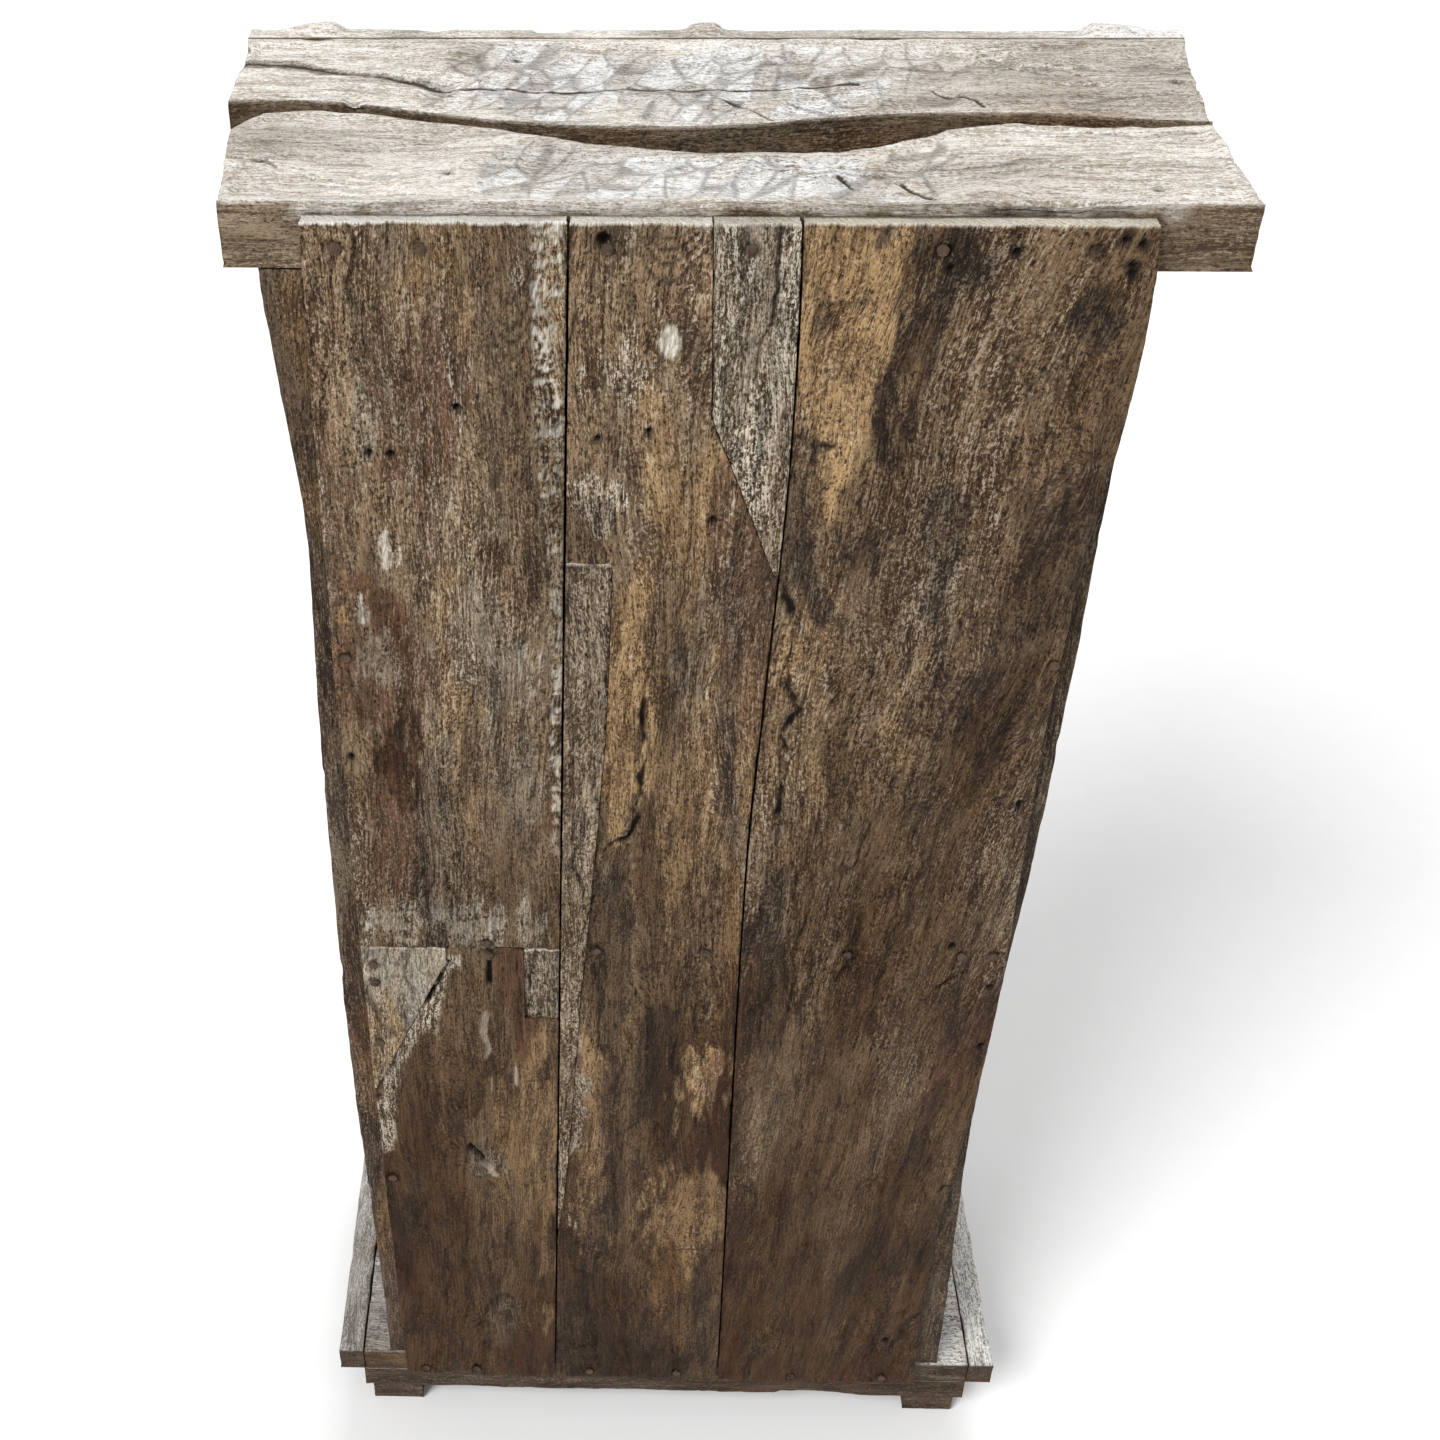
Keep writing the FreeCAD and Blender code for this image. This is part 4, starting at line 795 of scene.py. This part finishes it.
ladder = rise(half_wide + 1.5, half_wide - 1.5, off_middle) * rise(650, 720, flat[:, 1])
rungs = layered(upper_right.points, (60, 60, 230), 2, 72)
bits = layered(upper_right.points, (380, 380, 240), 2, 73)
upper_right.cut(0.9 * ladder * rise(0.25, -0.15, rungs))
upper_right.rough = np.maximum(upper_right.rough, 1.35 * ladder)
upper_right.mark("ochre", 0.5 * ladder)
upper_right.mark("flecks", 0.7 * ladder)
cover = 0.6 * rungs + 0.8 * bits - 0.17 * rise(880, 1020, flat[:, 1])
upper_right.mark("sawn", 0.95 * ladder * rise(0.05, 0.17, cover))
for line in (((155, 1058), (149, 1004), (179, 972)), ((207, 890), (175, 823))):
    upper_right.mark("russet", 0.8 * streak(upper_right, flat, line, 10))
upper_right.mark("grey", 0.8 * streak(upper_right, flat, ((152, 854), (114, 809)), 9))
end_cut(upper_right, 1.0, 1.0)
nail_pits(upper_right)
upper_right.done("cabinet", back_wood, "back_plank")

# Right board, lower length: a split, a rough vein of bark and a knot eye
lower_right = back_board("back_board_right_lower", 4, flecks=0.1)
flat = lower_right.flat(X, Z)
put_spots(lower_right, flat, RL_SPOTS)
slit(lower_right, flat, ((139, 574), (139, 556)), 1.7, 3.0)
crack(lower_right, flat, ((139, 519), (138, 498), (144, 476)), 1.2, 0.6, 0.2)
bark = streak(lower_right, flat, ((168, 575), (190, 516), (216, 455), (222, 371)), 9)
lower_right.cut(1.4 * bark * (0.5 + 0.5 * layered(lower_right.points, (150, 150, 80), 2, 81)))
lower_right.rough = np.maximum(lower_right.rough, bark)
lower_right.mark("flecks", bark)
lower_right.mark("grey", 0.7 * bark)
lower_right.marks["dusk"] *= 1.0 - 0.6 * bark
lower_right.mark("ochre", 0.4 * streak(lower_right, flat, ((104, 499), (119, 433), (113, 313)), 9))
knot(lower_right, flat, 149, 361, 13, 24, 0.8)
slit(lower_right, flat, ((158, 374), (151, 364), (145, 353)), 2.6, 5.0)
lower_right.mark("sawn", 0.85 * streak(lower_right, flat, ((149, 355), (143, 347), (140, 342)), 2.8))
lower_right.marks["groove"] *= 1.0 - 0.8 * lower_right.marks["sawn"]
slit(lower_right, flat, ((167, 575), (173, 560), (184, 535)), 1.8, 4.0)
pale_scratches = (((142, 525), (145, 505), (141, 490), (144, 476)), ((140, 455), (140, 441)),
                  ((122, 469), (122, 448)))
for line in pale_scratches:
    lower_right.mark("sawn", 0.5 * streak(lower_right, flat, line, 1.2, 1.1))
knot(lower_right, flat, 140, 157, 15, 26)
nail_pits(lower_right)
lower_right.done("cabinet", back_wood, "back_plank")

# Middle board: an open crack, ochre veins and a bare knot
middle = back_board("back_board_middle", 5, flecks=0.2)
flat = middle.flat(X, Z)
put_spots(middle, flat, M_SPOTS)
dark_veins = ((((-13, 934), (-11, 899), (-16, 850), (-15, 799), (-16, 720)), 7), (((18, 524), (25, 418)), 12))
for line, thick in dark_veins:
    middle.mark("stain", 0.75 * streak(middle, flat, line, thick))
for line in (((-26, 828), (-33, 721)), ((-27, 660), (-27, 544)), ((51, 887), (54, 815), (62, 732))):
    middle.mark("ochre", 0.85 * streak(middle, flat, line, 8))
bare_knot = spot(middle, flat, 30, 1050, 6, 9, 0.1)
middle.mark("sawn", bare_knot)
middle.cut(0.8 * spot(middle, flat, 30, 1050, 8, 11, 0.1) - 0.8 * bare_knot)
knot(middle, flat, 56, 660, 9, 18)
arches(middle, flat, 31, 0.06, (1085, 1095, 1103, 1110), 19)
for x, z, wide, high in ((18, 823, 5, 22), (4, 832, 5, 22)):
    gouge(middle, flat, x, z, wide, high, 1.6, 0.2)
    middle.mark("stain", 0.5 * spot(middle, flat, x, z + 6, wide, high))
for x, z, radius in ((67, 1108, 4.0), (40, 996, 2.2), (68, 991, 2.2), (2, 939, 2.2)):
    hole(middle, flat, x, z, radius, 4.0)
crack(middle, flat, ((6, 1006), (-1, 985), (-11, 960)), 1.6, 2.0)
crack(middle, flat, ((37, 838), (37, 810), (37, 765), (38, 737), (42, 699), (62, 679)), 2.0, 2.2)
crack(middle, flat, ((83, 1021), (32, 1021)), 0.8, 0.5, 0.6)
crack(middle, flat, ((10, 252), (-40, 251)), 1.0, 0.8, 0.7)
end_cut(middle, 0.9, 0.5)
nail_pits(middle)
middle.done("cabinet", back_wood, "back_plank")

# Wide board: an ochre field, dark flames and a wavy crack
wide_board = back_board("back_board_left", 6, WIDE_DUSK, 0.3, 0.95)
flat = wide_board.flat(X, Z)
put_spots(wide_board, flat, L_SPOTS, 0.3, 0.45, 0.9)
flames = ((((-104, 1098), (-110, 1084), (-104, 1059), (-98, 1021), (-95, 987), (-86, 954), (-80, 914)), 7),
          (((-131, 955), (-132, 916), (-133, 876)), 6), (((-48, 986), (-43, 944), (-55, 896), (-63, 875)), 6),
          (((-50, 660), (-51, 594)), 7))
for line, thick in flames:
    wide_board.mark("stain", 0.8 * streak(wide_board, flat, line, 1.4 * thick, 1.3))
knot(wide_board, flat, -210, 971, 9, 10, 1.2)
knot(wide_board, flat, -186, 130, 15, 22, 1.2)
knot(wide_board, flat, -206, 790, 8, 11)
upper_holes = ((-111, 1103), (-113, 1093), (-200, 1109), (-209, 1107), (-206, 1095), (-207, 1091),
               (-146, 1102))
for x, z in upper_holes:
    hole(wide_board, flat, x, z, 2.4, 3.0, 0.9)
for x, z in ((-204, 727), (-178, 599), (-209, 560), (-183, 131), (-211, 499)):
    hole(wide_board, flat, x, z, 2.6, 4.0)
wavy = ((-43, 893), (-51, 857), (-50, 845), (-51, 819), (-58, 801), (-50, 782), (-55, 764), (-51, 717))
crack(wide_board, flat, wavy, 2.6, 2.6)
crack(wide_board, flat, ((-71, 747), (-66, 705), (-49, 669)), 2.6, 1.4, 0.1)
crack(wide_board, flat, ((-106, 718), (-108, 670), (-110, 596), (-110, 546), (-108, 472)), 0.9, 0.6, 0.3)
crack(wide_board, flat, ((-83, 696), (-101, 596)), 0.9, 0.6, 0.3)
crack(wide_board, flat, ((-166, 543), (-178, 563), (-192, 572)), 1.8, 2.0)
crack(wide_board, flat, ((-38, 1029), (-43, 999), (-47, 990), (-63, 989)), 1.6, 1.4)
cross_cuts = (((-72, 595), (-181, 593)), ((-92, 386), (-170, 392)), ((-42, 1073), (-89, 1073)),
              ((-72, 980), (-160, 984)))
for line in cross_cuts:
    crack(wide_board, flat, line, 0.8, 0.5, 0.5)
end_cut(wide_board, 0.75)
nail_pits(wide_board)
wide_board.done("cabinet", back_wood, "back_plank")

# Let-in patches: node, seed, and the strength of grey, flecks, dusk and ochre
PATCHES = (("corner_patch", 7, 0.3, 0.9, 0.1, 0.8), ("block_patch", 8, 0.9, 0.8, 0.35, 0.2),
           ("upper_wedge", 9, 1.0, 0.9, 0.0, 0.05), ("lower_wedge", 10, 0.35, 0.5, 0.2, 0.5))
for node, seed, grey, flecks, dusk, ochre in PATCHES:
    patch = Board(node, REAR, Z, EDGE_STEPS, seed)
    patch.rough[:] = 1.35
    weather(patch, 0.7, 0.8, 1.2, 1.2, 1.2, 0.25, 1.2)
    patch.keep_joints()
    tint(patch, "ochre", ochre)
    if node == "corner_patch":
        patch.mark("sawn", 0.25 * rise(-0.3, 0.4, layered(patch.grain, (50, 50, 14), 4, 6)))
    patch.mark("grey", grey * (0.7 + 0.4 * noise(patch.grain, (40, 40, 8), seed)))
    patch.mark("dusk", dusk * (1.0 + 0.4 * noise(patch.grain, (40, 40, 10), seed + 5)))
    patch.mark("flecks", flecks * (0.7 + 0.5 * noise(patch.grain, (60, 60, 12), seed + 1)))
    end_cut(patch, 0.8)
    nail_pits(patch)
    patch.done("cabinet", back_wood, "back_plank")

# Top slabs, adzed by hand. Places are X and Y in millimetres.
SLAB_TOP = 1125.0
SLAB_FRONT = -112.0


def adze(board, flat, low, high, count, seed, size=(34, 15), turn=1.2, depth=2.0, white=1.0):
    """Shallow scoops of an adze, alike in shape, so they meet in ridges; each has its own paleness, which is
    painted light and shade, with a painted white sheen and painted shadow lines along the ridges.
    """
    draw = np.random.default_rng(seed)
    best, second, pale = (np.zeros(len(flat)) for k in range(3))
    for k in range(count):
        x, y = draw.uniform(low[0], high[0]), draw.uniform(low[1], high[1])
        lean = turn + draw.uniform(-0.15, 0.15)
        u = ((flat[:, 0] - x) * math.cos(lean) + (flat[:, 1] - y) * math.sin(lean)) / size[0]
        v = ((flat[:, 1] - y) * math.cos(lean) - (flat[:, 0] - x) * math.sin(lean)) / size[1]
        cut = depth * (draw.uniform(0.6, 1.2) - u * u - v * v)
        second = np.maximum(second, np.minimum(best, cut))
        pale = np.where(cut > best, draw.uniform(0.0, 1.0), pale)
        best = np.maximum(best, cut)
    front = rise(0.75, 0.95, board.facing) * rise(3.0 * MM, 12.0 * MM, board.rim_gap)
    board.cut(best * front)
    board.grain[:, 1] -= 1.6 * best * front * MM
    cut_here = white * front * rise(0.0, 0.3, best)
    ridge = cut_here * rise(0.05, 0.4, second) * rise(0.34, 0.1, best - second)
    growth = np.cos(math.tau * (best / 0.8 + 0.5 * noise(board.points, (70, 70, 70), seed)))
    cloud = layered(board.points, (30, 30, 30), 3, seed)
    middle_sheen_share = rise(165, 65, np.abs(flat[:, 0] - 35) + 60.0 * cloud)
    # Each facet's paleness stands for how it catches the light: pale facets get a painted white sheen,
    # strongest in the middle of the top, and dark ones lose some bleach and get painted shade
    board.marks["bleach"] *= 1.0 - 0.3 * cut_here * rise(0.2, 0.12, pale)
    board.mark("white", cut_here * (0.5 + 0.5 * rise(0.12, 0.45, pale)) * middle_sheen_share)
    board.mark("dusk", 0.08 * cut_here * rise(0.35, 0.1, pale))
    # Dark lines along the ridges between facets are painted shadow lines; the dark rings are the grain cut
    # through by each scoop
    board.mark("groove", np.maximum(0.5 * ridge, 0.22 * cut_here * rise(0.6, 0.95, growth)))


def slab(node, seed, tan):
    """A slab of the top, dressed all over and bleached above; tan is how much less so on the -X end."""
    board = Board(node, UP, X, (1.35, 0.95, 2.4), seed)
    flat = board.flat(X, Y)
    board.bend_grain(0.004 * noise(board.points, (5, 14, 14), seed + 2))
    board.rough[:] = 0.75
    board.waver = 0.5
    weather(board, 5.0, 1.6, 0.35, 1.0, 0.5)
    low, high = flat.min(axis=0), flat.max(axis=0)
    adze(board, flat, low, high, 40, seed + 5, (60, 26), 0.7, 2.4, 0.0)
    up = rise(0.35, 0.75, board.normals[:, 2])
    cloud = layered(board.grain, (14, 14, 5), 4, seed + 21)
    board.mark("bleach", up * (0.92 + 0.5 * cloud - tan * rise(-90, -200, flat[:, 0])))
    tint(board, "ochre", 0.25)
    board.marks["ochre"] *= 0.3 + 0.7 * up
    tint(board, "grey", 0.3, seed=3)
    rear = rise(0.4, 0.8, board.normals[:, 1])
    back = rear * rise(120, 130, flat[:, 1])
    worn = 10.0 + 6.0 * layered(board.points, (45, 45, 60), 3, seed + 25)
    over_boards = rise(-238, -222, flat[:, 0]) * rise(236, 220, flat[:, 0])
    board.mark("bleach", 0.8 * back * over_boards * rise(worn, 0.6 * worn, board.below / MM))
    # Rear-facing faces are darkened: painted shade, strongest on the walls of the gap between the slabs and
    # of the notches, and along the back growing towards the -X end
    board.mark("dusk", back * (0.1 + 0.35 * rise(60, -160, flat[:, 0])) + 0.55 * (rear - back))
    return board


rear_slab = slab("top_slab_rear", 12, 0.05)
flat = rear_slab.flat(X, Y)
adze(rear_slab, flat, (-115, 62), (130, 124), 46, 5)
crack(rear_slab, flat, ((272, 78), (247, 85), (220, 105)), 1.6, 2.0, 0.7)
scoop = spot(rear_slab, flat, -165, 140, 42, 9, 0.12)
rear_slab.cut(3.5 * scoop)
rear_slab.mark("stain", 0.35 * scoop)
for line in (((-91, 104), (-105, 129)), ((-58, 93), (-64, 108))):
    slit(rear_slab, flat, line, 1.3, 0.8)
for x, y in ((-221, 117), (-62, 100), (150, 96)):
    hole(rear_slab, flat, x, y, 2.2, 3.0, 0.5)
rear_slab.done("cabinet", top_wood, "top_plank")

front_slab = slab("top_slab_front", 13, 0.3)
flat = front_slab.flat(X, Y)
front_slab.depth *= 1.0 - 0.8 * rise(SLAB_FRONT + 14, SLAB_FRONT + 4, flat[:, 1])
adze(front_slab, flat, (-150, -100), (175, 12), 84, 8)
fissure_line = ((289, -72), (271, -70), (247, -69), (223, -60), (202, -51), (179, -43), (161, -33))
fissure = streak(front_slab, flat, fissure_line, 7, 1.0)
front_slab.cut(1.2 * fissure)
front_slab.mark("stain", 0.4 * fissure)
front_slab.marks["bleach"] *= 1.0 - 0.6 * fissure
slit(front_slab, flat, fissure_line, 2.2, 0.9, 0.9)
long_line = ((161, -33), (122, -35), (89, -31), (56, -32), (11, -33), (-34, -35), (-82, -37))
slit(front_slab, flat, long_line, 1.4, 0.5, 0.4)
for line in (((-3, -19), (-28, 21)), ((-124, -34), (-134, -19)), ((-139, -22), (-150, 0))):
    slit(front_slab, flat, line, 1.3, 0.8)
for x, y, wide, high in ((-174, -82, 14, 7), (-190, -60, 16, 9), (-212, -36, 12, 6)):
    gouge(front_slab, flat, x, y, wide, high, 1.6, 0.3)
    front_slab.mark("stain", 0.4 * spot(front_slab, flat, x, y, 0.7 * wide, 0.7 * high, 1.2))
for x, y in ((11, -26), (-267, -40), (120, -84)):
    hole(front_slab, flat, x, y, 2.2, 3.0, 0.5)
front_slab.done("cabinet", top_wood, "top_plank")

# Low bosses of the cornice: the middle and half width of each, on X in millimetres
BOSSES = ((256, 22), (7, 11), (-254, 22))


def trim_cornice(board):
    """Narrow the bosses of the cornice, and let them rise from the slab."""
    x, y, z = (board.points / MM).T
    ragged = 4.0 * layered(board.points, (80, 80, 80), 2, 7)
    kept = sum(rise(wide + 5, wide - 5, np.abs(x - place) + ragged) for place, wide in BOSSES)
    kept = kept * rise(SLAB_FRONT - 1, SLAB_FRONT - 15, y)
    board.points[:, 2] -= np.maximum(z - SLAB_TOP, 0.0) * (1.0 - kept) * MM


# The other boards
PLAIN_BOARDS = []


def plain(nodes, side, along, steps, material, slot, wear, body="cabinet"):
    """Boards alike but for their names: the side that is cut fine, grain axis, steps and wear in mm."""
    for node in nodes:
        PLAIN_BOARDS.append((node, side, along, steps, body, material, slot, wear))


def both(name):
    """The names of a left and a right piece."""
    return name + "_left", name + "_right"


plain(["cornice"], FRONT, X, (3.0, 2.4, 2.4), top_wood, "top_plank", 2.4)
plain(both("side_panel"), REAR, Z, (3.4, 4.0, 2.6), side_wood, "side_plank", 2.2)
plain(["base_board"], UP, X, (4.0, 3.0, 2.6), base_wood, "base_plank", 1.8)
plain(both("base_strip"), UP, Y, (3.0, 2.0, 2.6), base_wood, "base_plank", 1.8)
plain(["bearer_rear"], REAR, X, (3.0, 2.0, 3.0), base_wood, "base_plank", 2.4)
plain(["bearer_front"], FRONT, X, (3.0, 2.0, 3.0), base_wood, "base_plank", 2.4)
plain(both("foot_rear") + both("foot_front"), DOWN, X, (2.5, 2.5, 2.2), foot_wood, "foot_block", 2.6)
plain(["gap_batten"], UP, X, (4.0, 3.0, 4.0), inner_wood, "inner_plank", 1.4)
plain(both("top_cleat"), DOWN, Y, (4.0, 3.0, 4.0), inner_wood, "inner_plank", 1.4)
shelves = ["shelf_lower", "shelf_middle", "shelf_upper"]
plain(shelves, UP, X, (5.0, 4.0, 3.0), inner_wood, "inner_plank", 1.4)
plain(["shelf_cleats_left"], -AXES[X], Y, (4.0, 3.0, 3.0), inner_wood, "inner_plank", 1.4)
plain(["shelf_cleats_right"], AXES[X], Y, (4.0, 3.0, 3.0), inner_wood, "inner_plank", 1.4)
plain(both("stile"), FRONT, Z, (3.4, 1.8, 2.4), front_wood, "front_plank", 1.8)
plain(["head_rail", "sill_rail"], FRONT, X, (3.4, 1.8, 2.4), front_wood, "front_plank", 1.8)
plain(["door_stops"], FRONT, X, (5.0, 4.0, 4.0), inner_wood, "inner_plank", 1.2)
plain(["turn_button"], FRONT, X, (1.6, 1.2, 1.6), front_wood, "front_plank", 1.6, "turn_button")
for door in ("left", "right"):
    planks = [f"door_{door}_{part}_plank" for part in ("hanging", "meeting")]
    ledges = [f"door_{door}_ledge_{place}" for place in ("bottom", "middle", "top")]
    plain(planks, FRONT, Z, (3.2, 1.6, 2.4), front_wood, "front_plank", 1.8, f"{door}_door")
    plain(ledges, REAR, X, (3.2, 2.0, 2.4), inner_wood, "inner_plank", 1.6, f"{door}_door")

FIRST_SEED = 20
OCHRE_OF = {"side_plank": 0.1, "base_plank": 0.05, "foot_block": 0.0}
GREY_OF = {"inner_plank": 0.1, "foot_block": 0.0}
for seed, (node, side, along, steps, body, material, slot, wear) in enumerate(PLAIN_BOARDS, FIRST_SEED):
    board = Board(node, side, along, steps, seed)
    board.bend_grain(0.005 * noise(board.points, (9, 9, 9), seed + 2))
    if node == "cornice":
        trim_cornice(board)
    weather(board, wear, 0.3 * wear, 0.16 * wear, 0.4 * wear, 0.22 * wear)
    if node == "cornice":
        joint = rise(SLAB_FRONT - 12, SLAB_FRONT - 4, board.points[:, 1] / MM)
        board.depth *= 1.0 - 0.8 * joint * rise(SLAB_TOP - 17, SLAB_TOP - 7, board.points[:, 2] / MM)
    tint(board, "ochre", OCHRE_OF.get(slot, 0.3))
    tint(board, "russet", 0.22, seed=2)
    tint(board, "grey", GREY_OF.get(slot, 0.3), seed=3)
    if slot in ("base_plank", "top_plank"):
        up = rise(0.4, 0.8, board.normals[:, 2])
        if node == "cornice":
            up = np.maximum(up, rise(SLAB_TOP - 6, SLAB_TOP - 1, board.points[:, 2] / MM))
        board.mark("bleach", up * (0.85 + 0.3 * noise(board.points, (25, 25, 25), seed)))
        # The faces that don't face up are darkened: painted shade
        board.mark("dusk", 0.6 * (1.0 - up))
        board.mark("white", 0.7 * up * rise(-0.19, -0.24, board.points[:, 0]))
    if slot == "foot_block":
        board.mark("dusk", np.full(len(board.points), 0.4))
    # The side panels are darkened all over: painted shade
    if slot == "side_plank":
        board.mark("dusk", 0.6 + 0.25 * layered(board.grain, (24, 24, 6), 3, seed))
    board.done(body, material, slot)


# Ironwork and pegs keep their CAD shape
def refinish(nodes, material):
    """Give CAD nodes another material."""
    for node in nodes:
        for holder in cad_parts[node].material_slots:
            holder.material = material


refinish(both("hinge_straps") + both("pull_eye") + both("pull_ring"), iron)
refinish(["hinge_plates", "hinge_pins", "turn_button_screw", "carcass_nails"], iron)
refinish(["door_left_nails", "door_right_nails"], iron)
refinish(["back_nails"], dull_iron)
refinish(["foot_pegs"], peg_wood)

# Studio: a pale floor, soft light from above and from the camera's side, and the photo's camera
FLOOR_SIZE = 30.0
SKY_LIGHT, SKY_SEEN = 0.48, 1.0

floor_shader = Shader("pale floor")
speck = floor_shader.noise(floor_shader.place(), (30, 30, 30), 2)
floor_colour = floor_shader.mix(speck, (0.90, 0.90, 0.90, 1.0), (0.93, 0.93, 0.93, 1.0))
floor_shader.feed(floor_shader.surface.inputs["Base Color"], floor_colour)
floor_shader.surface.inputs["Roughness"].default_value = 0.9
floor_shader.surface.inputs["Specular IOR Level"].default_value = 0.1
ground = bmesh.new()
bmesh.ops.create_grid(ground, x_segments=2, y_segments=2, size=FLOOR_SIZE)
floor_mesh = bpy.data.meshes.new("floor")
ground.to_mesh(floor_mesh)
ground.free()
floor = bpy.data.objects.new("floor", floor_mesh)
floor_mesh.materials.append(floor_shader.material)
bpy.context.scene.collection.objects.link(floor)

world = bpy.data.worlds.new("studio")
bpy.context.scene.world = world
world.use_nodes = True
sky = world.node_tree.nodes["Background"]
path = world.node_tree.nodes.new("ShaderNodeLightPath")
seen = path.outputs["Is Camera Ray"]
for ray in ("Is Glossy Ray", "Is Transmission Ray"):
    either = world.node_tree.nodes.new("ShaderNodeMath")
    either.operation = "MAXIMUM"
    world.node_tree.links.new(seen, either.inputs[0])
    world.node_tree.links.new(path.outputs[ray], either.inputs[1])
    seen = either.outputs[0]
level = world.node_tree.nodes.new("ShaderNodeMapRange")
level.inputs["To Min"].default_value = SKY_LIGHT
level.inputs["To Max"].default_value = SKY_SEEN
world.node_tree.links.new(seen, level.inputs["Value"])
world.node_tree.links.new(level.outputs["Result"], sky.inputs["Strength"])
sky.inputs["Color"].default_value = (1.0, 1.0, 1.0, 1.0)


def soft_sun(name, source, spread, strength):
    """A soft light from far away; spread is the angle that it fills in the sky, in degrees."""
    lamp = bpy.data.lights.new(name, "SUN")
    lamp.angle = math.radians(spread)
    lamp.energy = strength
    held = bpy.data.objects.new(name, lamp)
    held.rotation_euler = (-Vector(source)).to_track_quat("-Z", "Y").to_euler()
    bpy.context.scene.collection.objects.link(held)


soft_sun("key from the upper left", (0.62, 0.66, 0.85), 28, 2.55)
soft_sun("sheen from the far side", (-0.15, -0.85, 0.75), 30, 1.25)

CAMERA_PLACE = Vector((0.0691, 1.0492, 1.5067))
PITCH, YAW, ROLL = math.radians(38.53), math.radians(2.36), math.radians(0.77)
SENSOR_MM, FOCAL_MM = 36.0, 46.216
SHIFT_X, SHIFT_Y = 0.130, 0.0026
ahead = Vector((math.sin(YAW) * math.cos(PITCH), -math.cos(YAW) * math.cos(PITCH), -math.sin(PITCH)))
level_right = Vector((-math.cos(YAW), -math.sin(YAW), 0.0))
level_down = ahead.cross(level_right)
right = math.cos(ROLL) * level_right + math.sin(ROLL) * level_down
down = math.cos(ROLL) * level_down - math.sin(ROLL) * level_right
lens = bpy.data.cameras.new("photo camera")
lens.sensor_width = SENSOR_MM
lens.lens = FOCAL_MM
lens.shift_x = SHIFT_X
lens.shift_y = SHIFT_Y
lens.clip_start = 0.01
camera = bpy.data.objects.new("photo camera", lens)
camera.matrix_world = Matrix.Translation(CAMERA_PLACE) @ Matrix((right, -down, -ahead)).transposed().to_4x4()
bpy.context.scene.collection.objects.link(camera)
bpy.context.scene.camera = camera
bpy.context.scene.view_settings.view_transform = "Standard"
